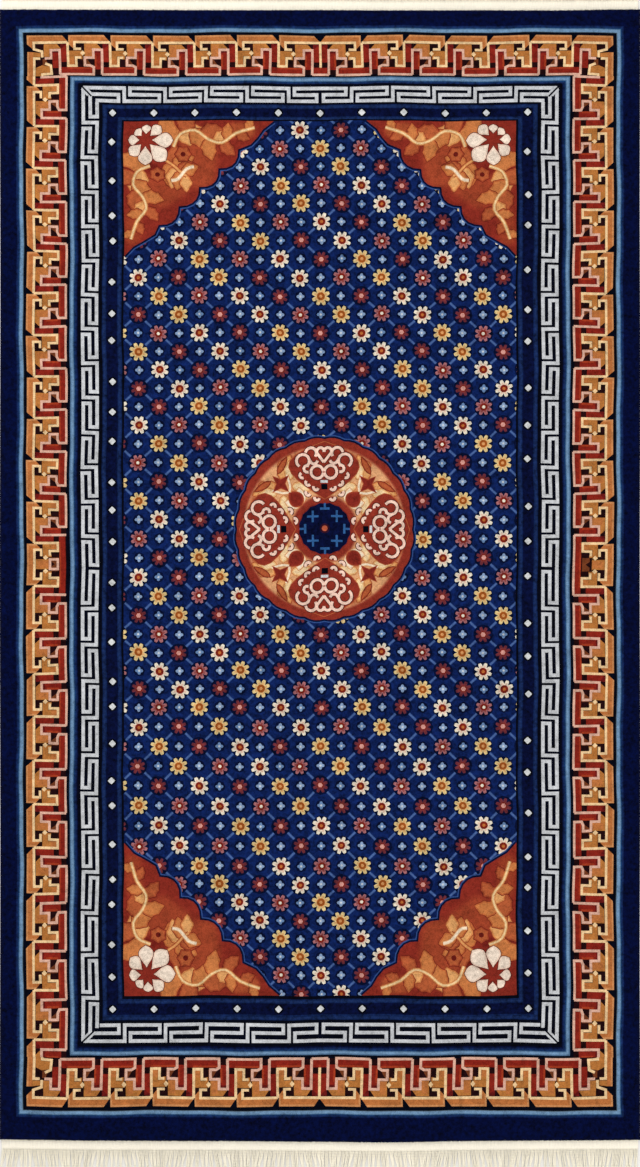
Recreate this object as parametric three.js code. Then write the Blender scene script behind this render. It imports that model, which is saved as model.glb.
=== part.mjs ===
// A hand-knotted rug lying flat, with a flat-woven apron and loose warp ends at its head and foot.
//
// Units are millimetres, +Z up. X runs across the rug and Y along it, towards the head.
// The origin is the middle of the underside.

import * as THREE from 'three';

// Driving dimensions

const PILE = {
  width: 1224, // selvedge to selvedge
  length: 2158, // head edge to foot edge, along the centre line
  thickness: 11, // knotted wool on its woven foundation
  waver: 1.4, // how far a selvedge wanders in from a straight line
  wanders: { left: 2, right: 3 },
  stepsAcross: 24,
  stepsAlong: 36,
};

// The rim in section, from the underside to the top of the pile.
const RIM = [
  { drawnIn: 0.8, height: 0 },
  { drawnIn: 0, height: 1.6 },
  { drawnIn: 0, height: 6.4 },
  { drawnIn: 1.1, height: 9 },
  { drawnIn: 3, height: 10.4 },
  { drawnIn: 6.5, height: PILE.thickness },
];

// How far each end edge lies beyond its nominal line, at places across the rug.
const END_LINE = [
  { across: -612, head: 1.6, foot: -4.3 },
  { across: -430, head: 0.9, foot: -2.0 },
  { across: -200, head: 0, foot: -1.4 },
  { across: 0, head: 0.3, foot: 0 },
  { across: 130, head: -0.4, foot: 1.2 },
  { across: 300, head: -0.2, foot: -1.6 },
  { across: 450, head: -0.4, foot: -2.4 },
  { across: 612, head: 1.8, foot: -3.3 },
];

const APRON = {
  width: 18,
  thickness: 2.8,
  gap: 0.3, // clearance to the pile's edge
  setIn: 5, // from the selvedge, at each side
};

const LOCK = {
  count: 148,
  reach: 66, // the longest lock's tip, beyond the pile's nominal end line
  raggedness: 11, // how much shorter the shortest one ends
  raggedPace: 2.4, // turns the raggedness from one lock to the next
  steps: 2,
  root: { width: 4.8, height: 2.3 },
  tip: { width: 2.2, height: 1.1 },
  crown: 0.55, // width of the upper face over the width on the floor
  lean: 5, // sideways, root to tip, in groups of neighbours
  leanPace: 0.31,
  stray: 1.3, // sideways, one lock against the next
  strayPace: 2.1,
};

const COLOURS = {
  pile: { color: 0x141b38, roughness: 0.95 },
  fringe: { color: 0xe9dfc9, roughness: 0.9 },
};

// Edge lines of the rug

const smooth = (t) => t * t * (3 - 2 * t);

function beyondEnd(end, x) {
  const next = END_LINE.findIndex((row) => row.across >= x);
  if (next <= 0) return END_LINE[next === 0 ? 0 : END_LINE.length - 1][end];
  const [a, b] = [END_LINE[next - 1], END_LINE[next]];
  const t = (x - a.across) / (b.across - a.across);
  return a[end] + (b[end] - a[end]) * smooth(t);
}

// An end edge of the pile, straight between places an equal pitch apart.
function endY(end, x) {
  const pitch = PILE.width / PILE.stepsAcross;
  const place = Math.floor(x / pitch) * pitch;
  const t = (x - place) / pitch;
  return PILE.length / 2 + THREE.MathUtils.lerp(beyondEnd(end, place), beyondEnd(end, place + pitch), t);
}

// Points up one selvedge, from the foot to just short of the head.
function selvedge(side, sign) {
  const x = sign * PILE.width / 2;
  const from = -endY('foot', x);
  const to = endY('head', x);
  return Array.from({ length: PILE.stepsAlong }, (_, step) => {
    const t = step / PILE.stepsAlong;
    const inward = PILE.waver * (1 - Math.cos(2 * Math.PI * PILE.wanders[side] * t)) / 2;
    return new THREE.Vector2(x - sign * inward, THREE.MathUtils.lerp(from, to, t));
  });
}

// The rug's outline, anticlockwise from the left corner of its foot, drawn in on every side.
function rugOutline(drawnIn) {
  const places = Array.from({ length: PILE.stepsAcross + 1 }, (_, step) => (
    (step / PILE.stepsAcross - 0.5) * PILE.width
  ));
  const points = [
    ...places.slice(1, -1).map((x) => new THREE.Vector2(x, -endY('foot', x))),
    ...selvedge('right', 1),
    ...places.map((x) => new THREE.Vector2(x, endY('head', x))).reverse(),
    ...selvedge('left', -1).reverse(),
  ];
  const drawn = new THREE.Vector2(1 - 2 * drawnIn / PILE.width, 1 - 2 * drawnIn / PILE.length);
  return points.map((point) => point.multiply(drawn));
}

// Faces of closed solids, as triangles of three points that turn anticlockwise seen from outside

// A flat polygon, filled from its first point.
function fan([first, ...rest]) {
  return rest.slice(1).map((point, here) => [first, rest[here], point]);
}

// A flat ring, filled from a point inside it.
const cap = (centre, ring) => ring.map((point, here) => [centre, point, ring[(here + 1) % ring.length]]);

// The skin between rings of equal length. Each ring runs anticlockwise, seen from the last one.
function skin(rings) {
  const faces = [];
  for (let level = 0; level + 1 < rings.length; level += 1) {
    const [near, far] = [rings[level], rings[level + 1]];
    near.forEach((point, here) => {
      const next = (here + 1) % near.length;
      faces.push(...fan([point, near[next], far[next], far[here]]));
    });
  }
  return faces;
}

function toGeometry(faces) {
  const geometry = new THREE.BufferGeometry().setFromPoints(faces.flat());
  geometry.computeVertexNormals();
  return geometry;
}

// The knotted cloth

function pileGeometry() {
  const rings = RIM.map(({ drawnIn, height }) => (
    rugOutline(drawnIn).map((point) => new THREE.Vector3(point.x, point.y, height))
  ));
  const underside = cap(new THREE.Vector3(), [...rings[0]].reverse());
  const top = cap(new THREE.Vector3(0, 0, PILE.thickness), rings.at(-1));
  return toGeometry([...underside, ...skin(rings), ...top]);
}

// The fringed ends, each worked out as if it ran towards +Y from the rug's middle

// A lock's rings, from its root in the apron's outer edge to its tip. The underside lies on the floor.
function lockRings(root, number) {
  const shortfall = LOCK.raggedness * Math.abs(Math.sin(number * LOCK.raggedPace));
  const tipY = PILE.length / 2 + LOCK.reach - shortfall;
  const together = LOCK.lean * Math.sin(number * LOCK.leanPace);
  const swing = together + LOCK.stray * Math.sin(number * LOCK.strayPace);
  return Array.from({ length: LOCK.steps + 1 }, (_, step) => {
    const t = step / LOCK.steps;
    const half = THREE.MathUtils.lerp(LOCK.root.width, LOCK.tip.width, t) / 2;
    const height = THREE.MathUtils.lerp(LOCK.root.height, LOCK.tip.height, t);
    const section = [[half, 0], [-half, 0], [-half * LOCK.crown, height], [half * LOCK.crown, height]];
    return section.map(([sideways, up]) => {
      const y = THREE.MathUtils.lerp(root.y + sideways * root.slope, tipY, t);
      return new THREE.Vector3(root.x + swing * smooth(t) + sideways, y, up);
    });
  });
}

// One lock and the stretch of apron that it grows from, between two places across the rug.
function fringeCell(edgeY, left, right, number) {
  const point = (x, y, z) => new THREE.Vector3(x, y, z);
  const corners = [left, right].map((x) => {
    const inner = edgeY(x) + APRON.gap;
    return [inner, inner + APRON.width].map((y) => [point(x, y, 0), point(x, y, APRON.thickness)]);
  });
  const [[[a, aTop], [d, dTop]], [[b, bTop], [c, cTop]]] = corners;
  const slope = (c.y - d.y) / (right - left);
  const root = { x: (left + right) / 2, y: (c.y + d.y) / 2, slope };
  const rings = lockRings(root, number);
  const [rightFoot, leftFoot, leftCrown, rightCrown] = rings[0];
  const faces = [
    ...fan([a, d, leftFoot, rightFoot, c, b]),
    ...fan([aTop, bTop, cTop, dTop]),
    ...fan([a, b, bTop, aTop]),
    ...fan([cTop, c, rightFoot, rightCrown, leftCrown, dTop]),
    ...fan([dTop, leftCrown, leftFoot, d]),
    ...skin(rings),
    ...fan(rings.at(-1)),
  ];
  return { faces, start: [a, aTop, dTop, d], finish: [b, c, cTop, bTop] };
}

function fringeGeometry(end, facing) {
  const edgeY = (x) => endY(end, x * facing);
  const pitch = (PILE.width - 2 * APRON.setIn) / LOCK.count;
  const cells = Array.from({ length: LOCK.count }, (_, number) => {
    const left = (number - LOCK.count / 2) * pitch;
    return fringeCell(edgeY, left, left + pitch, number);
  });
  const sides = [...fan(cells[0].start), ...fan(cells.at(-1).finish)];
  return toGeometry([...cells.flatMap((cell) => cell.faces), ...sides]);
}

// The rug

function mesh(name, geometry, { color, roughness }) {
  const material = new THREE.MeshStandardMaterial({ color, roughness, metalness: 0 });
  const piece = new THREE.Mesh(geometry, material);
  piece.name = name;
  return piece;
}

const rug = new THREE.Group();
rug.add(mesh('rug_pile', pileGeometry(), COLOURS.pile));
rug.add(mesh('fringe_head', fringeGeometry('head', 1), COLOURS.fringe));

const foot = mesh('fringe_foot', fringeGeometry('foot', -1), COLOURS.fringe);
foot.rotation.z = Math.PI;
rug.add(foot);

export default rug;
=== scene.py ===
# %% [markdown]
# A hand-knotted rug is one cloth with three parts: a flat woven foundation of cotton warps and wefts,
# the wool knots that stand on it as the pile, and the warp ends that leave it as a fringe.
# This lesson dresses a plain solid of that rug. The pattern is the hard part. It could be a picture on
# a plane, but a picture blurs close up. A knotter works from a chart instead, and so does this script:
# every motif is a few polygons in millimetres, laid over each other like paper, and then cut into one
# flat mesh whose faces carry the dye.

# %% Load the frame
import math
import random

import bpy
import numpy as np
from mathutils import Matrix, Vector
from mathutils.geometry import delaunay_2d_cdt


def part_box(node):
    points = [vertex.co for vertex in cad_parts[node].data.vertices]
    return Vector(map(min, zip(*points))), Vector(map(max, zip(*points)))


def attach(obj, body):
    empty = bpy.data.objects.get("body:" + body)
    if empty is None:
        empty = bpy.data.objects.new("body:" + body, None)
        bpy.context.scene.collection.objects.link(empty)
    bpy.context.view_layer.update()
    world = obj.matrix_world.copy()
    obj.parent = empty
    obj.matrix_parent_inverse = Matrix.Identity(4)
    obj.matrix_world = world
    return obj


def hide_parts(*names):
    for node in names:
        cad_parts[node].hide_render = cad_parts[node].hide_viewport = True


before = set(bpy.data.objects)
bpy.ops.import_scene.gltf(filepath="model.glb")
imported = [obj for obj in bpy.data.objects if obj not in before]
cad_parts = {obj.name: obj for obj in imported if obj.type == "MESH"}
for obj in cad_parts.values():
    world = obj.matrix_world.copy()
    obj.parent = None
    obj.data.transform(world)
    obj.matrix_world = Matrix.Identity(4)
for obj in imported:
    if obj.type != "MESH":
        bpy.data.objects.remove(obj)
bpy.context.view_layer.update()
pile_low, pile_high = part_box("rug_pile")
MM = 0.001
PILE_TOP = pile_high.z / MM
PILE_WIDTH = (pile_high.x - pile_low.x) / MM
PILE_LENGTH = (pile_high.y - pile_low.y) / MM

# %% [markdown]
# The camera hangs straight over the rug. From near by, the borders would lean outwards, so it looks
# through a long lens from far up, which keeps them parallel. The picture's height in pixels covers a
# known length of pile, and that gives the camera's height.

# %% Place the camera
MM_PER_PIXEL = 1.90625
PICTURE_HEIGHT = 1167
LENS = 100
SENSOR = 36
VIEW_CENTRE_Y = -14.3

camera_data = bpy.data.cameras.new("camera")
camera_data.lens = LENS
camera_data.sensor_width = SENSOR
camera = bpy.data.objects.new("camera", camera_data)
bpy.context.scene.collection.objects.link(camera)
camera_height = PICTURE_HEIGHT * MM_PER_PIXEL * LENS / SENSOR + PILE_TOP
camera.location = (0, VIEW_CENTRE_Y * MM, camera_height * MM)
bpy.context.scene.camera = camera
print("camera height:", round(camera_height * MM, 3), "m")

# %% [markdown]
# A rug is shown in even light, so that no side is darker. A single lamp would leave a bright spot, and a
# pale world alone would hide the pile. So the world gives most of the light, and two wide lamps give the
# wool a direction. The floor is plain and only staged, so it is no part of the rug. The plain view
# transform keeps the dyes as they are mixed.

# %% Set up the light and the floor
WORLD_STRENGTH = 0.80
WORLD_TINT = (1, 0.99, 0.975, 1)
LAMPS = [
    {"name": "key", "at": (-1.7, 1.9, 2.6), "size": 2.4, "watts": 44},
    {"name": "fill", "at": (2.2, -1.6, 2.4), "size": 2.8, "watts": 23},
]
FLOOR_SIZE = 60
FLOOR_COLOUR = (0.86, 0.845, 0.815, 1)
FLOOR_ROUGHNESS = 0.75
FLOOR_DROP = 0.0004

scene = bpy.context.scene
scene.view_settings.view_transform = "Standard"
world = bpy.data.worlds.new("studio")
world.use_nodes = True
world.node_tree.nodes["Background"].inputs["Color"].default_value = WORLD_TINT
world.node_tree.nodes["Background"].inputs["Strength"].default_value = WORLD_STRENGTH
scene.world = world

for lamp in LAMPS:
    light = bpy.data.lights.new(lamp["name"], "AREA")
    light.size = lamp["size"]
    light.energy = lamp["watts"]
    holder = bpy.data.objects.new(lamp["name"], light)
    holder.location = lamp["at"]
    holder.rotation_euler = (-Vector(lamp["at"])).to_track_quat("-Z", "Y").to_euler()
    scene.collection.objects.link(holder)

floor_mesh = bpy.data.meshes.new("floor")
half = FLOOR_SIZE / 2
floor_corners = [(-half, -half, 0), (half, -half, 0), (half, half, 0), (-half, half, 0)]
floor_mesh.from_pydata(floor_corners, [], [(0, 1, 2, 3)])
floor = bpy.data.objects.new("floor", floor_mesh)
floor.location.z = -FLOOR_DROP
scene.collection.objects.link(floor)
floor_paint = bpy.data.materials.new("floor_paint")
floor_paint.use_nodes = True
floor_shader = floor_paint.node_tree.nodes["Principled BSDF"]
floor_shader.inputs["Base Color"].default_value = FLOOR_COLOUR
floor_shader.inputs["Roughness"].default_value = FLOOR_ROUGHNESS
floor_mesh.materials.append(floor_paint)
print("lamps:", len(LAMPS))

# %% [markdown]
# The dye pots. A rug has few colours, and each is used in many places. Picked where they are used, no two
# blues would match, so they are named once here. They are written as a screen shows them, from 0 to
# 255, and turned into light values in one step.

# %% Mix the dyes
DYES = {
    "black": (3, 5, 20),
    "edge navy": (2, 10, 52),
    "night navy": (5, 13, 52),
    "guard navy": (16, 36, 82),
    "field navy": (12, 33, 88),
    "halo navy": (4, 14, 50),
    "line blue": (80, 108, 162),
    "net blue": (50, 80, 142),
    "sky blue": (118, 154, 190),
    "guard blue": (25, 45, 91),
    "deep blue": (17, 58, 106),
    "dusk blue": (84, 118, 154),
    "grey blue": (96, 118, 136),
    "pale blue": (140, 166, 202),
    "flower blue": (108, 140, 184),
    "flower heart": (206, 214, 222),
    "disc blue": (52, 100, 158),
    "chalk": (214, 216, 220),
    "pearl": (226, 228, 228),
    "cream": (244, 234, 212),
    "wheat": (232, 206, 146),
    "brick": (150, 52, 38),
    "fret brick": (144, 38, 26),
    "fret dark": (34, 9, 12),
    "fret brown": (120, 62, 34),
    "maroon": (112, 26, 24),
    "cinnabar": (172, 62, 34),
    "orange": (196, 112, 56),
    "fret orange": (197, 119, 64),
    "ochre": (192, 122, 60),
    "fret peach": (214, 146, 92),
    "apricot": (226, 160, 100),
    "fret cream": (252, 214, 162),
    "fret pink": (233, 184, 162),
    "rosette red": (128, 34, 22),
    "rosette rust": (164, 84, 30),
    "rosette rose": (176, 112, 116),
    "rosette dusk": (112, 48, 58),
    "rosette brick": (128, 52, 48),
    "blush": (222, 158, 146),
    "dark outline": (84, 32, 26),
    "leaf shadow": (108, 28, 22),
    "petal": (250, 218, 196),
    "petal heart": (254, 234, 214),
    "cloud pink": (255, 216, 196),
    "disc plum": (50, 15, 35),
    "disc dot": (205, 100, 70),
}


def to_light(rgb):
    """Screen values from 0 to 255 as linear light."""
    share = np.asarray(rgb, float) / 255
    return np.where(share <= 0.04045, share / 12.92, ((share + 0.055) / 1.055) ** 2.4)


def blend_dyes(first, second, share):
    """A dye between two others."""
    return tuple(a + (b - a) * share for a, b in zip(DYES[first], DYES[second]))


print("dyes:", len(DYES))

# %% [markdown]
# The drawing tools. A motif could be modelled by hand, but a rug has hundreds of them, so each kind is a
# function. It returns one closed outline: a box, a round, a line of even width with mitred corners, a
# flower from radii, or a curve through a few points. Others add points to an outline, clip it or grow it.

# %% Make the drawing tools
MITRE_LIMIT = 0.35
SLIM_SHARE = 0.45
SHORTEST_SIDE = 0.001


def box_outline(x0, y0, x1, y1):
    return [(x0, y0), (x1, y0), (x1, y1), (x0, y1)]


def round_outline(x, y, radius, sides):
    angles = [2 * math.pi * side / sides for side in range(sides)]
    return [(x + radius * math.cos(a), y + radius * math.sin(a)) for a in angles]


def arc(x, y, radius, start, finish, steps):
    """Points on an arc, with its angles in degrees."""
    angles = [math.radians(start + (finish - start) * step / steps) for step in range(steps + 1)]
    return [(x + radius * math.cos(a), y + radius * math.sin(a)) for a in angles]


def line_outline(points, width):
    """A line of even width along some points, with mitred corners."""
    path = np.array(points, float)
    ways = np.diff(path, axis=0)
    ways /= np.linalg.norm(ways, axis=1)[:, None]
    sides = np.stack([-ways[:, 1], ways[:, 0]], axis=1)
    before = np.vstack([sides[:1], sides])
    after = np.vstack([sides, sides[-1:]])
    meeting = np.maximum(1 + np.sum(before * after, axis=1), MITRE_LIMIT)
    offset = (before + after) / meeting[:, None] * width / 2
    return [tuple(p) for p in path - offset] + [tuple(p) for p in (path + offset)[::-1]]


def flower_outline(x, y, petals, rows, turn=0.0):
    """A flower from rows of a share of the petal's pitch and a radius."""
    points = []
    for petal in range(petals):
        for share, radius in rows:
            angle = 2 * math.pi * (petal + share) / petals + turn
            points.append((x + radius * math.cos(angle), y + radius * math.sin(angle)))
    return points


def smooth_curve(points, steps=3):
    """A Catmull-Rom curve through a few points, with some steps from each to the next."""
    path = np.array(points, float)
    held = np.vstack([path[:1], path, path[-1:]])
    curve = []
    for a, b, c, d in zip(held, held[1:], held[2:], held[3:]):
        for step in range(steps):
            t = step / steps
            bend = 2 * a - 5 * b + 4 * c - d + t * (3 * b - a - 3 * c + d)
            curve.append(b + 0.5 * t * (c - a + t * bend))
    return [tuple(point) for point in curve + [path[-1]]]


def stepped(outline, longest):
    """The same outline with points added, so that no side is longer than this."""
    points = []
    for (ax, ay), (bx, by) in zip(outline, outline[1:] + outline[:1]):
        steps = max(1, math.ceil(math.hypot(bx - ax, by - ay) / longest))
        points += [(ax + (bx - ax) * step / steps, ay + (by - ay) * step / steps) for step in range(steps)]
    return points


def clipped(outline, low, high):
    """The part of an outline whose first coordinate lies between two limits."""
    for limit, sign in ((low, 1), (high, -1)):
        kept = []
        for a, b in zip(outline, outline[1:] + outline[:1]):
            a_in, b_in = (a[0] - limit) * sign >= 0, (b[0] - limit) * sign >= 0
            if a_in:
                kept.append(a)
            if a_in != b_in:
                kept.append((limit, a[1] + (b[1] - a[1]) * (limit - a[0]) / (b[0] - a[0])))
        outline = kept
    return outline


def anticlockwise(points):
    """An outline that ends in its leftmost point and turns left there, as a fill starts from that point."""
    path = [tuple(point) for point in points]
    after = path.index(min(path)) + 1
    path = path[after:] + path[:after]
    (x0, y0), (x1, y1), (x2, y2) = path[-2], path[-1], path[0]
    turns_left = (x1 - x0) * (y2 - y1) > (y1 - y0) * (x2 - x1)
    return path if turns_left else path[-2::-1] + path[-1:]


def grown(outline, by):
    """A closed outline moved outwards by so much, or inwards, where a slim one moves less."""
    path = np.array(anticlockwise(outline))
    after = np.roll(path, -1, 0)
    area = abs(np.sum(path[:, 0] * after[:, 1] - path[:, 1] * after[:, 0])) / 2
    by = max(by, -SLIM_SHARE * area / np.sum(np.linalg.norm(after - path, axis=1)))
    ways = after - np.roll(path, 1, 0)
    ways /= np.maximum(np.linalg.norm(ways, axis=1), SHORTEST_SIDE)[:, None]
    return [tuple(point) for point in path + np.column_stack([ways[:, 1], -ways[:, 0]]) * by]


print("a mitred corner:", line_outline([(0, 0), (10, 0), (10, 10)], 2))

# %% [markdown]
# From chart to cloth. The outlines could be stacked as thin plates, but knotted wool is one surface. So a
# constrained triangulation cuts them into faces that each lie in known outlines, and the outline that is
# laid last gives the face its dye. An outline with no dye cuts a hole. Where the wool is shaded instead
# of plain, extra points a few millimetres apart take their dye from a shading function, and nothing is
# laid outside such a chart's first outline. No hand follows a chart exactly, so all points stray by up to
# a millimetre or so in slow waves. The piece is closed with walls and a cap, as a slab of pile is.

# %% Cut a chart into cloth
CUT_TOLERANCE = 1e-5
STRAYS = [{"by": 0.9, "pace": 47}, {"by": 0.5, "pace": 19}]
STRAY_MARGIN = 10
STRAY_FADE = 20
STRAY_STEP = 15


def strayed(spots):
    """The spots as a hand works them, moved by waves of odd lengths. The rug's own edge stays in place."""
    x, y = spots.T
    inward = np.minimum(PILE_WIDTH / 2 - np.abs(x), PILE_LENGTH / 2 - np.abs(y))
    share = np.clip((inward - STRAY_MARGIN) / STRAY_FADE, 0, 1)
    moved = spots.copy()
    for stray in STRAYS:
        pace = stray["pace"]
        moved[:, 0] += share * stray["by"] * np.sin(y / pace + np.sin(x / pace / 2.3))
        moved[:, 1] += share * stray["by"] * np.sin(x / pace + 1.7 * np.sin(y / pace / 1.9))
    return moved


def cap_triangles(points, border):
    """Triangles that fill the inside of closed loops, given as directed edges with the inside on the left."""
    fill = delaunay_2d_cdt([Vector(p) for p in points], border, [], 1, CUT_TOLERANCE)[2]
    owner = {}
    for number, (a, b, c) in enumerate(fill):
        owner.update({(a, b): number, (b, c): number, (c, a): number})
    walls = set(border)
    waiting = [owner[edge] for edge in border]
    inside = set(waiting)
    while waiting:
        a, b, c = fill[waiting.pop()]
        for edge in ((a, b), (b, c), (c, a)):
            other = owner.get(edge[::-1])
            if edge not in walls and other is not None and other not in inside:
                inside.add(other)
                waiting.append(other)
    return [fill[number] for number in sorted(inside)]


def cut_chart(chart, grid=None):
    """Points, triangles and the chart row of each triangle."""
    points, outlines = [], []
    for outline, _ in chart:
        outline = anticlockwise([(round(x, 3), round(y, 3)) for x, y in outline])
        outlines.append(list(range(len(points), len(points) + len(outline))))
        points += [Vector(point) for point in outline]
    if grid is not None:
        points += [Vector(p) for p in grid]
    cut = delaunay_2d_cdt(points, [], outlines, 1, CUT_TOLERANCE)
    rows = [max(origins) if origins else None for origins in cut[5]]
    if chart[0][1] == "soft":
        rows = [row if 0 in origins else None for row, origins in zip(rows, cut[5])]
    kept = [number for number, row in enumerate(rows) if row is not None and chart[row][1] is not None]
    triangles = np.array([cut[2][number] for number in kept])
    return np.array(cut[0]), triangles, [rows[number] for number in kept]


print("strays of the chart's points:", STRAYS)

# %% [markdown]
# The cut sheet becomes a slab. A Solidify modifier would thicken it, but the walls have to follow heights
# of the solid, so they are built from the sheet's own border: one ring of points for each height, faces
# between the rings, and a cap over the last one. The cap needs only the border's points.

# %% Close the slab
FOUNDATION_THICKNESS = 3.2
PILE_WALL = [(0, FOUNDATION_THICKNESS)]


def cloth_mesh(name, chart, top, walls, shade=None, grid=None, spread=None):
    """A closed slab: the cut chart at height top, down through walls, rows of how far out and how high."""
    flat, triangles, rows = cut_chart(chart, grid)
    used, triangles = np.unique(triangles, return_inverse=True)
    triangles = triangles.reshape(-1, 3)
    charted = flat[used]
    flat = strayed(charted)
    count = len(flat)
    edges = triangles[:, [0, 1, 1, 2, 2, 0]].reshape(-1, 2)
    codes = edges[:, 0] * count + edges[:, 1]
    border = edges[~np.isin(codes, edges[:, 1] * count + edges[:, 0])]
    rim, border = np.unique(border, return_inverse=True)
    border = border.reshape(-1, 2)
    levels = [(flat[rim] if spread is None else spread(flat[rim], out), height) for out, height in walls]
    heights = top if callable(top) else (lambda spots: np.full(len(spots), float(top)))
    blocks = [np.column_stack([flat, heights(flat)])]
    blocks += [np.column_stack([spots, np.full(len(spots), height)]) for spots, height in levels]
    first = [rim] + [np.arange(len(rim)) + count + len(rim) * level for level in range(len(levels))]
    faces = [tuple(t) for t in triangles]
    for upper, lower in zip(first, first[1:]):
        faces += [(lower[a], lower[b], upper[b], upper[a]) for a, b in border]
    lowest = charted[rim] if spread is None else levels[-1][0]
    under = cap_triangles(lowest, [tuple(edge) for edge in border])
    faces += [(first[-1][c], first[-1][b], first[-1][a]) for a, b, c in under]
    upwards = walls[-1][1] < blocks[0][0, 2]
    if not upwards:
        faces = [face[::-1] for face in faces]
    mesh = bpy.data.meshes.new(name)
    mesh.from_pydata((np.vstack(blocks) * MM).tolist(), [], [[int(v) for v in face] for face in faces])
    paint_corners(mesh, chart, rows, shade)
    lay_flat_map(mesh, len(rows))
    print(name, "triangles:", len(rows) + 2 * len(border) * len(levels) + len(under))
    return mesh


print("the pile stands", round(PILE_TOP - FOUNDATION_THICKNESS, 1), "mm over its foundation")

# %% [markdown]
# The dye is held in the mesh: each corner of a face has its own colour, so two faces that share an edge
# can differ sharply along it, which colours on the points could not do. A map seen from above is laid out
# too.

# %% Paint and map the slab
TOP_SHARE_OF_MAP = 0.98
NOT_PLAIN = (-1, -1, -1)


def corners_of(mesh):
    """Each vertex's place, and the vertex of each face corner."""
    spots = np.zeros(3 * len(mesh.vertices))
    mesh.vertices.foreach_get("co", spots)
    owners = np.zeros(len(mesh.loops), int)
    mesh.loops.foreach_get("vertex_index", owners)
    return spots.reshape(-1, 3)[:, :2], owners


def paint_corners(mesh, chart, rows, shade):
    """Gives each corner of the patterned faces its dye, and the walls that of the first outline."""
    light = np.ones((len(mesh.loops), 4))
    plain = {row: to_light(dye) for row, (_, dye) in enumerate(chart) if isinstance(dye, tuple)}
    light[:, :3] = plain.get(0, to_light(DYES["night navy"]))
    dyes = np.array([plain.get(row, NOT_PLAIN) for row in rows])
    light[: 3 * len(rows), :3] = np.repeat(dyes, 3, axis=0)
    if shade is not None:
        spots, owners = corners_of(mesh)
        soft = np.flatnonzero(light[:, 0] < 0)
        shaded = to_light(shade(spots / MM))
        light[soft, :3] = shaded[owners[soft]]
    layer = mesh.color_attributes.new("dye", "FLOAT_COLOR", "CORNER")
    layer.data.foreach_set("color", light.ravel())


def lay_flat_map(mesh, patterned):
    """A map seen from above for the patterned faces. The walls and the cap share a strip beside it."""
    spots, owners = corners_of(mesh)
    share = (spots - spots.min(0)) / np.ptp(spots, axis=0)
    places = share[owners]
    places[: 3 * patterned, 1] *= TOP_SHARE_OF_MAP
    places[3 * patterned:, 1] = TOP_SHARE_OF_MAP + places[3 * patterned:, 1] * (1 - TOP_SHARE_OF_MAP)
    layer = mesh.uv_layers.new(name="OFBake")
    layer.data.foreach_set("uv", places.ravel())


def show(mesh, material=None):
    piece = bpy.data.objects.new(mesh.name, mesh)
    scene.collection.objects.link(piece)
    if material is not None:
        mesh.materials.append(material)
    return piece


print("share of the map for the patterned faces:", TOP_SHARE_OF_MAP)

# %% [markdown]
# Wool seen close up is thousands of cut yarn ends, packed in rows of knots. One by one they would be
# millions of faces, so on the flat they are a finish, and only the edge has real tufts. The grain group
# makes three things from the place on the rug: soft clouds and bands in the dye, a fine speckle of
# fibres, and the height of each yarn end, which a Bump node turns into shade. The dye is also darkened
# towards the rim of each knot, as painted shade in the gaps between yarn ends. Indigo takes less evenly
# the deeper it is dyed, so the clouds are stronger in dark wool. The pile and the navy edge share it.

# %% Make the wool grain
KNOT_PITCH = 2.3
KNOT_STRETCH = 0.3
KNOT_DISORDER = 0.55
# How much darker the dye is painted between the yarn ends: painted shade, not a dye.
KNOT_PAINTED_SHADE = 0.55
KNOT_LIFT = 0.99
FIBRE_SCALE = 900
FIBRE_HEIGHT = 0.5
CLOUD_SCALE = 42
PATCH_SCALE = 150
BAND_STRETCH = (1.5, 46, 1)
INDIGO_LEVEL = 12
INDIGO_UNEVENNESS = 2.6
DARKEST_SHADE = 0.12
WOOL_ROUGHNESS = {"least": 0.82, "spread": 0.16}


def add_node(tree, kind, **settings):
    node = tree.nodes.new(kind)
    for key, value in settings.items():
        setattr(node, key, value)
    return node


def set_inputs(node, **values):
    for key, value in values.items():
        node.inputs[key.replace("_", " ")].default_value = value
    return node


def shader_group(name, inputs, outputs):
    """An empty shader node group with its sockets, and its two end nodes."""
    group = bpy.data.node_groups.new(name, "ShaderNodeTree")
    for label, kind, value in inputs:
        socket = group.interface.new_socket(label, in_out="INPUT", socket_type=kind)
        if value is not None:
            socket.default_value = value
    for label, kind in outputs:
        group.interface.new_socket(label, in_out="OUTPUT", socket_type=kind)
    return group, group.nodes.new("NodeGroupInput"), group.nodes.new("NodeGroupOutput")


def maths(group, operation, first, second):
    """A Math node on two things that are each a socket or a number."""
    node = add_node(group, "ShaderNodeMath", operation=operation)
    for slot_number, value in enumerate((first, second)):
        if isinstance(value, (int, float)):
            node.inputs[slot_number].default_value = value
        else:
            group.links.new(value, node.inputs[slot_number])
    return node.outputs[0]


def stretched(group, vector, scale):
    node = add_node(group, "ShaderNodeVectorMath", operation="MULTIPLY")
    group.links.new(vector, node.inputs[0])
    node.inputs[1].default_value = scale
    return node.outputs[0]


def noise(group, vector, scale, detail, roughness=0.55):
    node = set_inputs(add_node(group, "ShaderNodeTexNoise"), Scale=scale, Detail=detail, Roughness=roughness)
    group.links.new(vector, node.inputs["Vector"])
    return node.outputs["Fac"]


def colour_and_roughness(group, start, end, shade, fibres, roughness):
    """Ends a grain group: the dye times the shade, and a roughness that follows the fibres."""
    tint = add_node(group, "ShaderNodeMix", data_type="RGBA", blend_type="MULTIPLY")
    tint.inputs["Factor"].default_value = 1
    group.links.new(start.outputs["Dye"], tint.inputs[6])
    group.links.new(shade, tint.inputs[7])
    group.links.new(tint.outputs[2], end.inputs["Color"])
    rough = maths(group, "ADD", maths(group, "MULTIPLY", fibres, roughness["spread"]), roughness["least"])
    group.links.new(rough, end.inputs["Roughness"])


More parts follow.
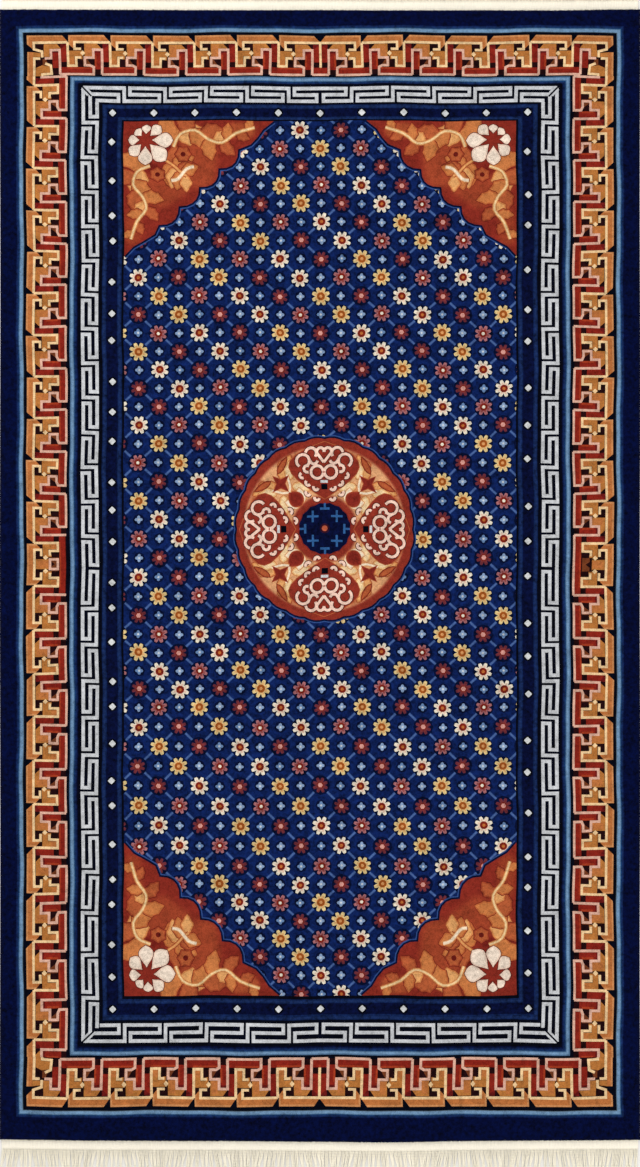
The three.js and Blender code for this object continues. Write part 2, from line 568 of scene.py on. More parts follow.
def wool_grain_group():
    inputs = [
        ("Vector", "NodeSocketVector", None),
        ("Dye", "NodeSocketColor", (0.5, 0.5, 0.5, 1)),
        ("Clouds", "NodeSocketFloat", 0.3),
        ("Speckle", "NodeSocketFloat", 0.3),
        ("Bands", "NodeSocketFloat", 0.1),
    ]
    outputs = [("Color", "NodeSocketColor"), ("Roughness", "NodeSocketFloat"), ("Height", "NodeSocketFloat")]
    group, start, end = shader_group("wool_grain", inputs, outputs)
    place = start.outputs["Vector"]
    knots = add_node(group, "ShaderNodeTexVoronoi")
    set_inputs(knots, Scale=1.0, Randomness=KNOT_DISORDER)
    per_knot = 1 / (KNOT_PITCH * MM)
    knot_place = stretched(group, place, (per_knot, per_knot, per_knot * KNOT_STRETCH))
    group.links.new(knot_place, knots.inputs["Vector"])
    fibres = noise(group, place, FIBRE_SCALE, 3, 0.7)
    clouds = noise(group, place, CLOUD_SCALE, 4)
    patches = noise(group, place, PATCH_SCALE, 2)
    bands = noise(group, stretched(group, place, BAND_STRETCH), 1, 3)
    grey = add_node(group, "ShaderNodeRGBToBW")
    group.links.new(start.outputs["Dye"], grey.inputs[0])
    paleness = maths(group, "MULTIPLY", grey.outputs[0], INDIGO_LEVEL)
    depth = maths(group, "MAXIMUM", maths(group, "SUBTRACT", 1, paleness), 0)
    uneven = maths(group, "ADD", maths(group, "MULTIPLY", depth, INDIGO_UNEVENNESS), 1)
    cloudiness = maths(group, "MULTIPLY", uneven, start.outputs["Clouds"])
    # Painted shade: the dye darkens towards the rim of each knot's cell, where the gaps between yarn ends
    # lie.
    dips = maths(group, "MULTIPLY", knots.outputs["Distance"], -KNOT_PAINTED_SHADE)
    shade = maths(group, "ADD", dips, KNOT_LIFT)
    amounts = ((clouds, start.outputs["Clouds"]), (patches, cloudiness), (fibres, start.outputs["Speckle"]),
               (bands, start.outputs["Bands"]))
    for fac, amount in amounts:
        centred = maths(group, "SUBTRACT", fac, 0.5)
        shade = maths(group, "ADD", shade, maths(group, "MULTIPLY", centred, amount))
    shade = maths(group, "MAXIMUM", shade, DARKEST_SHADE)
    colour_and_roughness(group, start, end, shade, fibres, WOOL_ROUGHNESS)
    fibre_height = maths(group, "MULTIPLY", fibres, FIBRE_HEIGHT)
    height = maths(group, "SUBTRACT", fibre_height, knots.outputs["Distance"])
    group.links.new(height, end.inputs["Height"])
    return group


wool_grain = wool_grain_group()
print("nodes in the wool grain:", len(wool_grain.nodes))

# %% [markdown]
# Wool and cotton are the same kind of finish with other numbers: a matt cloth with a little sheen, which
# stands for the light that loose fibres catch. So one function builds both, and only the grain group and
# its amounts differ. The pile reads its dye from the faces, and one-coloured yarns have theirs as a value.

# %% Dye the wool
RELIEF_STRENGTH = 0.5
CLOTH_SHINE = 0.04
SHEEN_ROUGHNESS = 0.55
PATTERNED_SHEEN = (0.75, 0.8, 1, 1)
PLAIN_SHEEN = (1, 0.98, 0.95, 1)


def textile(name, group, dye=None, sheen=0.01, relief=0.6, **amounts):
    """A Principled cloth whose colour, roughness and bump come from a grain group."""
    material = bpy.data.materials.new(name)
    material.use_nodes = True
    tree = material.node_tree
    shader = tree.nodes["Principled BSDF"]
    grain = add_node(tree, "ShaderNodeGroup", node_tree=group)
    place = add_node(tree, "ShaderNodeTexCoord")
    tree.links.new(place.outputs["Object"], grain.inputs["Vector"])
    if dye is None:
        attribute = add_node(tree, "ShaderNodeAttribute", attribute_name="dye")
        tree.links.new(attribute.outputs["Color"], grain.inputs["Dye"])
    else:
        grain.inputs["Dye"].default_value = (*to_light(dye), 1)
    set_inputs(grain, **amounts)
    raised = set_inputs(add_node(tree, "ShaderNodeBump"), Strength=RELIEF_STRENGTH, Distance=relief * MM)
    tree.links.new(grain.outputs["Color"], shader.inputs["Base Color"])
    tree.links.new(grain.outputs["Roughness"], shader.inputs["Roughness"])
    tree.links.new(grain.outputs["Height"], raised.inputs["Height"])
    tree.links.new(raised.outputs["Normal"], shader.inputs["Normal"])
    shader.inputs["Specular IOR Level"].default_value = CLOTH_SHINE
    shader.inputs["Sheen Weight"].default_value = sheen
    shader.inputs["Sheen Roughness"].default_value = SHEEN_ROUGHNESS
    shader.inputs["Sheen Tint"].default_value = PATTERNED_SHEEN if dye is None else PLAIN_SHEEN
    return material


pile_wool = textile("pile_wool", wool_grain, Clouds=0.6, Speckle=0.5, Bands=0.14)
navy_wool = textile("navy_wool", wool_grain, dye=DYES["edge navy"], sheen=0.02, Clouds=0.4, Speckle=0.5)
print("materials:", pile_wool.name, navy_wool.name)

# %% [markdown]
# The rug is planned as frames inside each other. A border has to close on itself, so no band is placed
# by eye: one table has each band's outer limit, in millimetres from the middle of the pile, at the sides,
# at the head and at the foot. The borders are deeper at the foot, as a knotter's work often is. A band is
# a box with all smaller boxes laid over it, and a blue line is a few such boxes of different blues.

# %% Measure the bands
ENDS = {"head": 1, "foot": -1}
SIDES = {"left": -1, "right": 1}
BANDS = [
    {"name": "field", "side": 374, "head": 867.5, "foot": 800},
    {"name": "field line", "side": 378, "head": 870.2, "foot": 806},
    {"name": "inner blue line", "side": 385.5, "head": 875, "foot": 814},
    {"name": "pearl band", "side": 407, "head": 891.2, "foot": 836},
    {"name": "outer blue line", "side": 414.5, "head": 897.8, "foot": 845.5},
    {"name": "key inner line", "side": 421, "head": 901.7, "foot": 850.2},
    {"name": "key band", "side": 456.5, "head": 934.1, "foot": 891.6},
    {"name": "key outer line", "side": 461.5, "head": 938.4, "foot": 897},
    {"name": "guard band", "side": 469, "head": 944.2, "foot": 905},
    {"name": "guard line", "side": 476.5, "head": 950.6, "foot": 913},
    {"name": "fret inner line", "side": 482, "head": 953.7, "foot": 918},
    {"name": "fret band", "side": 560.6, "head": 1031.6, "foot": 1013},
    {"name": "fret outer line", "side": 565.2, "head": 1035.9, "foot": 1018.9},
    {"name": "frame line", "side": 573.2, "head": 1043.6, "foot": 1026.8},
]
LIMITS = {band["name"]: band for band in BANDS}


def band_box(name, grow=0.0):
    band = LIMITS[name]
    box = box_outline(-band["side"] - grow, -band["foot"] - grow, band["side"] + grow, band["head"] + grow)
    return stepped(box, STRAY_STEP)


def line_tones(name, tones):
    """A line in several tones, from rows of how far out from the band's limit and a dye."""
    return [(band_box(name, grow), DYES[dye]) for grow, dye in tones]


print("bands:", len(BANDS))

# %% [markdown]
# The field is a net of fine blue lines with a rosette at every crossing and a small four-lobed flower
# in every mesh. An Array modifier would repeat it exactly, but a weaver beats the wefts down unevenly.
# So the columns are even, and a row's place is its number times the pitch plus a correction, which is
# given for a few rows and found between them.

# %% Plan the net
COLUMN_PITCH = 38.64
ROW_PITCH = 35.8
FIRST_COLUMN = -345.8
FIRST_ROW = 850.2
COLUMNS = 19
ROWS = 46
BEAT = [(0, 0), (16, -10.5), (27, -5.7), (31, -9.5), (35, -2.5), (39, 6.9), (45, 0)]


def crossing(column, row):
    """The place of a crossing of the net. Rows are counted down from the head."""
    late = np.interp(row, *zip(*BEAT))
    return FIRST_COLUMN + column * COLUMN_PITCH, FIRST_ROW - row * ROW_PITCH - late


print("first and last crossing:", crossing(0, 0), crossing(COLUMNS - 1, ROWS - 1))

# %% [markdown]
# A rosette has eight blunt petals round a dark ring with a bright dot, on a near-black ground that
# makes it stand out. Exact copies would look printed, so each is drawn anew with a small turn, shift and
# change of size, from a seeded chance that is the same in every run. Two light and two red dyeings of it
# alternate along the diagonals. The back of the rug uses the same net with a coarser rosette.

# %% Draw the rosettes
PETAL_ROWS = [(0, 9.6), (0.18, 14.6), (0.33, 17.5), (0.67, 17.5), (0.82, 14.6)]
INNER_PETAL_ROWS = [(0, 7.4), (0.3, 12.4), (0.7, 12.4)]
ROSETTE_TURN = 0.06
ROSETTE_SPREAD = 0.03
ROSETTE_SHIFT = 0.8
ROSETTE_SEED = 5
HALO_RADIUS = 18.8
INNER_PETAL_BLEND = 0.6
NET_LINES = [(5.0, "net blue"), (2.7, "line blue")]
NET_LINE_GAP = HALO_RADIUS - 2
RING_RADIUS = 7.9
DOT_RADIUS = {"dusk": 4.8, "other": 3.3}
ROSETTE_SCALE = {"rose": 0.9, "dusk": 0.84, "other": 0.98}
BACK_ROSETTE_RADIUS = 15.5
FLOWER_ROWS = [(0, 7.8), (0.2, 7.0), (0.5, 4.6), (0.8, 7.0)]
FLOWER_HALO = 11
FLOWER_HEART = 2.3
BACK_FLOWER_RADIUS = 6.8
ROSETTES = {
    "cream": {"petal": "cream", "heart": "fret pink", "ring": "rosette red", "dot": "orange"},
    "wheat": {"petal": "wheat", "heart": "apricot", "ring": "rosette rust", "dot": "apricot"},
    "rose": {"petal": "rosette rose", "heart": "rosette brick", "ring": "rosette red", "dot": "cream"},
    "dusk": {"petal": "rosette dusk", "heart": "rosette brick", "ring": "rosette red", "dot": "blush"},
}


def rosette(x, y, kind, chance, fine=True):
    dyes = ROSETTES[kind]
    scale = ROSETTE_SCALE.get(kind, ROSETTE_SCALE["other"])
    scale *= 1 + chance.uniform(-ROSETTE_SPREAD, ROSETTE_SPREAD)
    turn = chance.uniform(-ROSETTE_TURN, ROSETTE_TURN)
    x += chance.uniform(-ROSETTE_SHIFT, ROSETTE_SHIFT)
    y += chance.uniform(-ROSETTE_SHIFT, ROSETTE_SHIFT)
    outer = [(share, radius * scale) for share, radius in PETAL_ROWS]
    inner = [(share, radius * scale) for share, radius in INNER_PETAL_ROWS]
    dot_radius = DOT_RADIUS.get(kind, DOT_RADIUS["other"])
    dot = (round_outline(x, y, dot_radius, 6), DYES[dyes["dot"]])
    if not fine:
        return [(round_outline(x, y, BACK_ROSETTE_RADIUS, 8), DYES[dyes["petal"]]), dot]
    return [
        (round_outline(x, y, HALO_RADIUS, 12), DYES["halo navy"]),
        (flower_outline(x, y, 8, outer, turn), DYES[dyes["petal"]]),
        (flower_outline(x, y, 8, inner, turn), blend_dyes(dyes["petal"], dyes["heart"], INNER_PETAL_BLEND)),
        (round_outline(x, y, RING_RADIUS * scale, 10), DYES[dyes["ring"]]),
        dot,
    ]


def small_flower(x, y, dye, fine=True):
    if not fine:
        return [(round_outline(x, y, BACK_FLOWER_RADIUS, 4), DYES[dye])]
    return [
        (round_outline(x, y, FLOWER_HALO, 8), DYES["halo navy"]),
        (flower_outline(x, y, 4, FLOWER_ROWS), DYES[dye]),
        (round_outline(x, y, FLOWER_HEART, 6), DYES["flower heart"]),
    ]


def rosette_kind(column, row):
    """Light and red rosettes alternate, and their two dyeings change along the diagonal."""
    step = (row - column) % 4
    turn = (row + column) // 2
    if step == 0:
        return ("cream", "wheat", "wheat", "cream")[turn % 4]
    return ("dusk", "rose", "dusk", "dusk", "rose")[turn % 5]


def between(a, b, cut):
    """The ends of a line from a to b that stops short of both."""
    share = cut / math.dist(a, b)
    return [(p[0] + (q[0] - p[0]) * share, p[1] + (q[1] - p[1]) * share) for p, q in ((a, b), (b, a))]


def net_chart(fine=True):
    rows = [(band_box("field"), DYES["field navy"])]
    chance = random.Random(ROSETTE_SEED)
    places = [(column, row) for row in range(-1, ROWS + 1) for column in range(-1, COLUMNS + 1)]
    for width, dye in NET_LINES if fine else ():
        for column, row in places:
            if (row - column) % 2 == 0:
                for side in (-1, 1):
                    ends = between(crossing(column, row), crossing(column + side, row + 1), NET_LINE_GAP)
                    rows.append((line_outline(ends, width), DYES[dye]))
    for column, row in places:
        x, y = crossing(column, row)
        if (row - column) % 2:
            rows += small_flower(x, y, "flower blue" if (row // 3 + column) % 3 == 0 else "pale blue", fine)
        else:
            rows += rosette(x, y, rosette_kind(column, row), chance, fine)
    return rows


print("motifs in the net:", COLUMNS * ROWS)

# %% [markdown]
# Each corner of the field holds a brick-red spandrel whose edge steps down in lobes between two slim
# tips. Four edges could be drawn, but one in shares of its reach serves them all: the lobes are quarter
# rounds between cusps on a line, and two reaches fit it to the head and to the longer foot.

# %% Outline the spandrels
REACHES = {"head": (286, 257), "foot": (295, 292)}
SPANDRELS = [{"end": end, "side": side, "reach": REACHES[end]} for end in ENDS for side in SIDES]
FIRST_CUSP = (0.765, 0.209)
CUSP_STEP = (0.134, 0.142)
LOBES = 4
LOBE_STEPS = 5
LOBE_FULLNESS = 0.8
TIP_ALONG_END = [(1.0, 0.0), (0.93, 0.06), (0.893, 0.12), (0.85, 0.17)]
TIP_ALONG_SIDE = [(0.2, 0.845), (0.12, 0.895), (0.06, 0.93), (0.0, 1.0)]


def spandrel_edge():
    """The free edge in shares of the reach, from its tip along the end to its tip along the side."""
    points = list(TIP_ALONG_END)
    for lobe in range(LOBES):
        cusp = (FIRST_CUSP[0] - CUSP_STEP[0] * lobe, FIRST_CUSP[1] + CUSP_STEP[1] * lobe)
        for step in range(LOBE_STEPS):
            angle = math.pi / 2 * step / LOBE_STEPS
            across, along = math.cos(angle) ** LOBE_FULLNESS, math.sin(angle) ** LOBE_FULLNESS
            points.append((cusp[0] - CUSP_STEP[0] * (1 - across), cusp[1] + CUSP_STEP[1] * along))
    last = (FIRST_CUSP[0] - CUSP_STEP[0] * LOBES, FIRST_CUSP[1] + CUSP_STEP[1] * LOBES)
    return points + [last] + TIP_ALONG_SIDE


def into_corner(spandrel, across, along):
    """A point that lies some way in from the field's corner."""
    end, side = spandrel["end"], spandrel["side"]
    return SIDES[side] * (LIMITS["field"]["side"] - across), ENDS[end] * (LIMITS["field"][end] - along)


def spandrel_line(spandrel):
    reach_x, reach_y = spandrel["reach"]
    return [into_corner(spandrel, u * reach_x, v * reach_y) for u, v in spandrel_edge()]


def spandrel_outline(spandrel):
    return stepped([into_corner(spandrel, 0, 0)] + spandrel_line(spandrel), STRAY_STEP)


print("points on a spandrel's edge:", len(spandrel_edge()))

# %% [markdown]
# The ground of a spandrel is shaded wool, from brick through rust to dark red. A plain dye would look
# flat and a chart of steps would show them, so it is given as a few soft brush strokes. A stroke is a
# dye, a radius, a strength and a line of points, and it falls off outwards.

# %% Shade the spandrels
SPANDREL_STROKES = [
    ((184, 88, 50), 40, 0.6, [(118, 30), (150, 60), (146, 100)]),
    ((184, 88, 50), 36, 0.55, [(40, 130), (70, 140), (100, 120)]),
    ((196, 104, 56), 20, 0.6, [(210, 18), (236, 18)]),
    ((176, 78, 44), 22, 0.6, [(20, 180), (16, 220)]),
    ((118, 30, 24), 14, 0.6, [(88, 26), (96, 46), (88, 64)]),
    ((118, 30, 24), 12, 0.6, [(22, 84), (40, 88), (60, 92)]),
]
SPANDREL_GROUND = (144, 46, 34)
SOFT_EDGE = 0.55
SHADE_STEP = 3.1


def brush(spots, ground, strokes):
    """Lays soft strokes over a ground dye. Spots are points in the strokes' own millimetres."""
    colour = np.tile(np.array(ground, float), (len(spots), 1))
    for dye, radius, strength, points in strokes:
        path = np.array(points, float)
        nearest = np.full(len(spots), np.inf)
        for a, b in zip(path, path[1:]):
            way = b - a
            share = np.clip(((spots - a) @ way) / (way @ way), 0, 1)
            nearest = np.minimum(nearest, np.linalg.norm(spots - a - share[:, None] * way, axis=1))
        fade = np.clip((1 - nearest / radius) / SOFT_EDGE, 0, 1)
        cover = (fade * fade * (3 - 2 * fade) * strength)[:, None]
        colour = colour * (1 - cover) + np.array(dye, float) * cover
    return colour


def grid_inside(x0, y0, x1, y1, step):
    """Evenly spaced points in a box, every second row moved by half a step."""
    spots = []
    for row, y in enumerate(np.arange(y0 + step / 2, y1, step)):
        first = x0 + step * (0.25 + 0.5 * (row % 2))
        spots += [(x, y) for x in np.arange(first, x1 - step / 4, step)]
    return spots


def shade_spandrel(spandrel):
    def shade(spots):
        corner = np.array(into_corner(spandrel, 0, 0))
        inward = np.abs(spots - corner)
        stretch = np.array(spandrel["reach"]) / np.array(SPANDRELS[0]["reach"])
        return brush(inward / stretch, SPANDREL_GROUND, SPANDREL_STROKES)
    return shade


print("brush strokes:", len(SPANDREL_STROKES))

# %% [markdown]
# On the ground grow leaves. A knotter repeats a few forms rather than drawing every leaf, and rules do the
# same here. A leaf is a length and a width that swells and ends, wavy if it has lobes, in three tones. A
# stem bears leaves left and right in turn, each a little smaller than the one before.

# %% Draw the leaves
LEAF_TONES = {
    "rust": {"edge": (120, 36, 26), "body": (170, 74, 44), "heart": (190, 96, 56)},
    "orange": {"edge": (132, 44, 30), "body": (198, 106, 58), "heart": (212, 128, 72)},
    "gold": {"edge": (164, 74, 44), "body": (224, 142, 82), "heart": (238, 172, 108)},
    "ribbon": {"edge": (204, 126, 74), "body": (242, 190, 128), "heart": (252, 218, 168)},
    "cream": {"edge": (214, 142, 90), "body": (254, 222, 184), "heart": (255, 236, 210)},
    "brick": {"edge": (186, 96, 58), "body": (150, 52, 38), "heart": (136, 42, 32)},
}
LEAF_EDGE = 1.5
LEAF_RIM = 2.6
LEAF_STEPS = 9
STEM_WIDTH = 5.0
PLAIN_SWELL = 0.8
LEAF_ROUNDNESS = 0.8
WAVE_DEPTH = 0.14
FIRST_LEAF = 0.3
RIBBON_HEART = 0.4


def leaf_outline(x, y, length, width, turn, swell=PLAIN_SWELL, waves=0):
    """A leaf from its foot on. It is widest near the tip if swell is over 1, and wavy if it has waves."""
    way = np.array([math.cos(math.radians(turn)), math.sin(math.radians(turn))])
    points = []
    for step in range(2 * LEAF_STEPS):
        t = step / LEAF_STEPS if step < LEAF_STEPS else 2 - step / LEAF_STEPS
        half = math.sin(math.pi * t ** swell) ** LEAF_ROUNDNESS if 0 < t < 1 else 0
        side = 1 if step < LEAF_STEPS else -1
        half *= width / 2 * (1 + WAVE_DEPTH * math.cos(2 * math.pi * waves * t)) * side
        points.append((x + length * t * way[0] - half * way[1], y + length * t * way[1] + half * way[0]))
    return points


def leaf_rows(tone, outline, place):
    """A leaf in three tones. The place function turns the drawing's points into the rug's."""
    outline = place(outline)
    tones = LEAF_TONES[tone]
    inner = grown(outline, -LEAF_RIM)
    return [(grown(outline, LEAF_EDGE), tones["edge"]), (outline, tones["body"]), (inner, tones["heart"])]


def ribbon_rows(place, tone, width, points):
    curve = place(smooth_curve(points))
    widths = {"edge": width + 2 * LEAF_EDGE, "body": width, "heart": width * RIBBON_HEART}
    return [(line_outline(curve, widths[part]), LEAF_TONES[tone][part]) for part in widths]


def stem_rows(stem, leaves, tones, tone, place):
    """Leaves at equal shares of a stem, left and right in turn, and the stem over them."""
    curve = smooth_curve(stem, steps=6)
    rows = []
    for number in range(leaves["count"]):
        here = round((number + FIRST_LEAF) / leaves["count"] * (len(curve) - 2))
        (x, y), (after_x, after_y) = curve[here], curve[here + 1]
        lean = leaves["lean"] if number % 2 else -leaves["lean"]
        turn = math.degrees(math.atan2(after_y - y, after_x - x)) + lean
        size = 1 - leaves["shrink"] * number
        length, width = leaves["length"] * size, leaves["width"] * size
        outline = leaf_outline(x, y, length, width, turn, waves=leaves["waves"])
        rows += leaf_rows(tones[number % len(tones)], outline, place)
    return rows + ribbon_rows(place, tone, STEM_WIDTH, stem)


print("tones of the leaves:", list(LEAF_TONES))

# %% [markdown]
# The flowers are worked out in the same way. The lotus in the corner has petals round an empty heart whose
# tips lie on an oval, so those next to the corner are short. Petals of one size turned round the heart
# would be simpler, but they would run into the border. A small round bud sits on each arm.

# %% Draw the lotus and the bud
BUD = {"at": (114, 64), "radius": 16, "petals": 6, "heart": 5}
BUD_WAIST = 0.8
LOTUS = {"heart": (43, 36), "heart_radius": 12, "oval": (52, 46), "reach": (44, 40), "petals": 8, "turn": 2}
LOTUS_FILL = 0.86
LOTUS_WIDEST = 0.63
LOTUS_OUTLINE = 1.3
PETAL_SWELL = 1.5


def bud_rows(place):
    x, y = BUD["at"]
    outline = flower_outline(x, y, BUD["petals"], [(0, BUD["radius"]), (0.5, BUD["radius"] * BUD_WAIST)])
    heart = round_outline(x, y, BUD["heart"], 8)
    return leaf_rows("rust", outline, place) + [(place(heart), DYES["leaf shadow"])]


def lotus_rows(place):
    heart, middle, reach = (np.array(LOTUS[key], float) for key in ("heart", "oval", "reach"))
    pitch = 2 * math.pi / LOTUS["petals"]
    rows = []
    for number in range(LOTUS["petals"]):
        angle = pitch * number + math.radians(LOTUS["turn"])
        way = np.array([math.cos(angle), math.sin(angle)])
        start, pace = (heart - middle) / reach, way / reach
        lap = -start @ pace + math.sqrt((start @ pace) ** 2 - pace @ pace * (start @ start - 1))
        length = lap / (pace @ pace) - LOTUS["heart_radius"]
        width = LOTUS_FILL * pitch * (LOTUS["heart_radius"] + LOTUS_WIDEST * length)
        foot = heart + way * LOTUS["heart_radius"]
        outline = place(leaf_outline(*foot, length, width, math.degrees(angle), PETAL_SWELL))
        rows.append((grown(outline, LOTUS_OUTLINE), DYES["dark outline"]))
        rows.append((outline, DYES["petal"]))
        rows.append((grown(outline, -LEAF_RIM), DYES["petal heart"]))
    return rows


print("petals of the lotus:", LOTUS["petals"])

# %% [markdown]
# Now the four spandrels are put together. A stem winds along each side of the corner. Only one arm is
# worked out, and its mirror image over the diagonal is the other, so both stay alike. A third, short
# stem stands behind them with a light bar on it. The drawing is in the first corner's millimetres and is
# stretched to the reach of each.

# %% Chart the spandrels
ARM_STEM = [(96, 50), (108, 26), (136, 18), (162, 36), (188, 42), (214, 24), (250, 12)]
ARM_LEAVES = {"count": 11, "length": 64, "width": 40, "shrink": 0.06, "lean": 44, "waves": 3}
ARM_TONES = ["orange", "gold", "rust", "orange", "rust"]
DIAGONAL_STEM = [(78, 74), (96, 86), (108, 98), (120, 106)]
DIAGONAL_LEAVES = {"count": 8, "length": 50, "width": 34, "shrink": 0.05, "lean": 56, "waves": 2}
DIAGONAL_TONES = ["rust", "orange", "orange", "gold"]
SECOND_ARM_SHARE = 0.9
BAR = {"tone": "cream", "width": 6.0, "points": [(90, 114), (103, 111), (119, 93), (134, 88)]}


def in_spandrel(spandrel, over_diagonal=False):
    """The function that places a drawing in one corner of the field."""
    reach, first = spandrel["reach"], SPANDRELS[0]["reach"]

    def place(points):
        shares = [(x / first[0], y / first[1]) for x, y in points]
        if over_diagonal:
            stretch = first[1] / first[0]
            shares = [(y * stretch, x / stretch * SECOND_ARM_SHARE) for x, y in shares]
        return [into_corner(spandrel, u * reach[0], v * reach[1]) for u, v in shares]

    return place


def spandrel_chart(spandrel):
    place = in_spandrel(spandrel)
    rows = [(spandrel_outline(spandrel), "soft")]
    rows += stem_rows(DIAGONAL_STEM, DIAGONAL_LEAVES, DIAGONAL_TONES, "gold", place)
    for side in (place, in_spandrel(spandrel, over_diagonal=True)):
        rows += stem_rows(ARM_STEM, ARM_LEAVES, ARM_TONES, "ribbon", side)
        rows += bud_rows(side)
    return rows + ribbon_rows(place, **BAR) + lotus_rows(place)


for spandrel in SPANDRELS:
    outline = np.array(spandrel_outline(spandrel))
    inside = grid_inside(*outline.min(0), *outline.max(0), SHADE_STEP)
    chart = spandrel_chart(spandrel)
    shade = shade_spandrel(spandrel)
    name = "pile_spandrel_" + spandrel["end"] + "_" + spandrel["side"]
    mesh = cloth_mesh(name, chart, PILE_TOP, PILE_WALL, shade, inside)
    spandrel["piece"] = show(mesh, pile_wool)

# %% [markdown]
# The medallion is a disc of brick-red wool with a lightly scalloped rim. Four cloud heads in cream
# outline face its middle, with leaves and stars between them. A cloud head is all scrolls, so it is built
# of arcs, each a middle, a radius and two angles, which is shorter and rounder than a list of points.
# Only half of one is drawn. It is mirrored and turned to the four sides.

# %% Draw the cloud heads
MEDALLION_RADIUS = 170
MEDALLION = {"x": 8.6, "y": 89.6, "radius_x": 169.7, "radius_y": 173.5, "scallops": 28, "scallop": 3.0}
CLOUD_LINE = 5.2
CLOUD_EDGE = 1.6
CLOUD_LINES = [
    arc(-40, 127, 12.5, -45, 235, 10),
    arc(-25, 141, 10.5, 170, -35, 8),
    arc(-32, 112, 6.5, 60, 290, 6),
    [(0, 143)] + arc(-7, 144, 7, 20, 205, 6) + [(0, 124)],
    arc(-19, 129, 7.5, 190, 345, 6),
    arc(-13, 106, 12, 5, 355, 13),
]
CLOUD_MIDDLE = (0, 118)
CLOUD_CUPS = [(46, 204), (45, 226), (44, 248), (60, 238), (62, 256)]
CUP_RADIUS = 4.8
CLOUD_GROUND = {"foot": 56, "length": 106, "width": 118, "swell": 1.25}
CLOUD_KNOT = (-6, 73.5, 6, 84)
CLOUD_BAR = (-7, 86, 7, 91)
CUP_HALF_TURN = 95


def medallion_point(x, y):
    share_x, share_y = MEDALLION["radius_x"] / MEDALLION_RADIUS, MEDALLION["radius_y"] / MEDALLION_RADIUS
    return MEDALLION["x"] + x * share_x, MEDALLION["y"] + y * share_y


def medallion_outline(grow=0.0):
    steps = MEDALLION["scallops"] * 4
    points = []
    for step in range(steps):
        angle = 2 * math.pi * step / steps + math.pi / 2
        dip = MEDALLION["scallop"] * (1 - abs(math.sin(angle * MEDALLION["scallops"] / 2)))
        radius = MEDALLION_RADIUS - dip + grow
        points.append(medallion_point(radius * math.cos(angle), radius * math.sin(angle)))
    return points


def turned(points, quarter):
    """Points turned by quarter turns about the medallion's middle."""
    for _ in range(quarter):
        points = [(-y, x) for x, y in points]
    return [medallion_point(x, y) for x, y in points]


def mirrored(points):
    return [(-x, y) for x, y in points]


def cloud_strokes():
    """One cloud head as lines: the scrolls, the heart, the two loops and the cups round its foot."""
    strokes = list(CLOUD_LINES)
    for reach, turn in CLOUD_CUPS:
        at = math.radians(turn)
        x = CLOUD_MIDDLE[0] + reach * math.cos(at)
        y = CLOUD_MIDDLE[1] + reach * math.sin(at)
        strokes.append(arc(x, y, CUP_RADIUS, turn - CUP_HALF_TURN, turn + CUP_HALF_TURN, 6))
    return strokes + [mirrored(stroke) for stroke in strokes]


def cloud_head(quarter):
    ground = CLOUD_GROUND
    petal = leaf_outline(0, ground["foot"], ground["length"], ground["width"], 90, ground["swell"])
    petal = turned(petal, quarter)
    rows = [(grown(petal, LEAF_EDGE), LEAF_TONES["brick"]["edge"]), (petal, DYES["brick"])]
    for width, dye in ((CLOUD_LINE + 2 * CLOUD_EDGE, "dark outline"), (CLOUD_LINE, "cloud pink")):
        rows += [(line_outline(turned(stroke, quarter), width), DYES[dye]) for stroke in cloud_strokes()]
    knot, bar = box_outline(*CLOUD_KNOT), box_outline(*CLOUD_BAR)
    rows += [(turned(knot, quarter), DYES["black"]), (turned(bar, quarter), DYES["pearl"])]
    return rows


print("strokes in a cloud head:", len(cloud_strokes()))

# %% [markdown]
# In the middle lies a navy disc with blue crosses and a red eye. Between the cloud heads, leaves are set
# out along the line that runs from the middle to the rim. A list of what stands at each place, mirrored
# over that line, is easier to change than four drawn quarters.

# %% Draw the disc and the leaves between
DISC_LOBES = 16
DISC_RADII = {"edge": (50, 52), "body": (48, 50)}
CROSS = {"at": 22.9, "arm": 11, "width": 4}
TEE = {"at": 37.5, "reach": 48, "arm": 9, "width": 4.4}
DISC_EYE = {"plum": 9.4, "dot": 5.6}
STAR = {"at": 84, "outer": 21, "inner": 8}
QUARTER_LEAVES = [
    {"tone": "gold", "at": 126, "beside": 6, "length": 50, "width": 26, "lean": 70, "waves": 2},
    {"tone": "ribbon", "at": 112, "beside": 16, "length": 40, "width": 20, "lean": 52, "waves": 2},
    {"tone": "rust", "at": 136, "beside": 10, "length": 36, "width": 9, "lean": 76, "waves": 0},
    {"tone": "ribbon", "at": 100, "beside": 12, "length": 42, "width": 20, "lean": 140, "waves": 2},
    {"tone": "cream", "at": 64, "beside": 2, "length": 30, "width": 17, "lean": 34, "waves": 0},
    {"tone": "brick", "at": 62, "beside": 0, "length": 34, "width": 24, "lean": 0, "waves": 0},
]
QUARTER_RIBBON = {"tone": "cream", "width": 4.5, "points": [(0, 96), (10, 104), (20, 122)]}


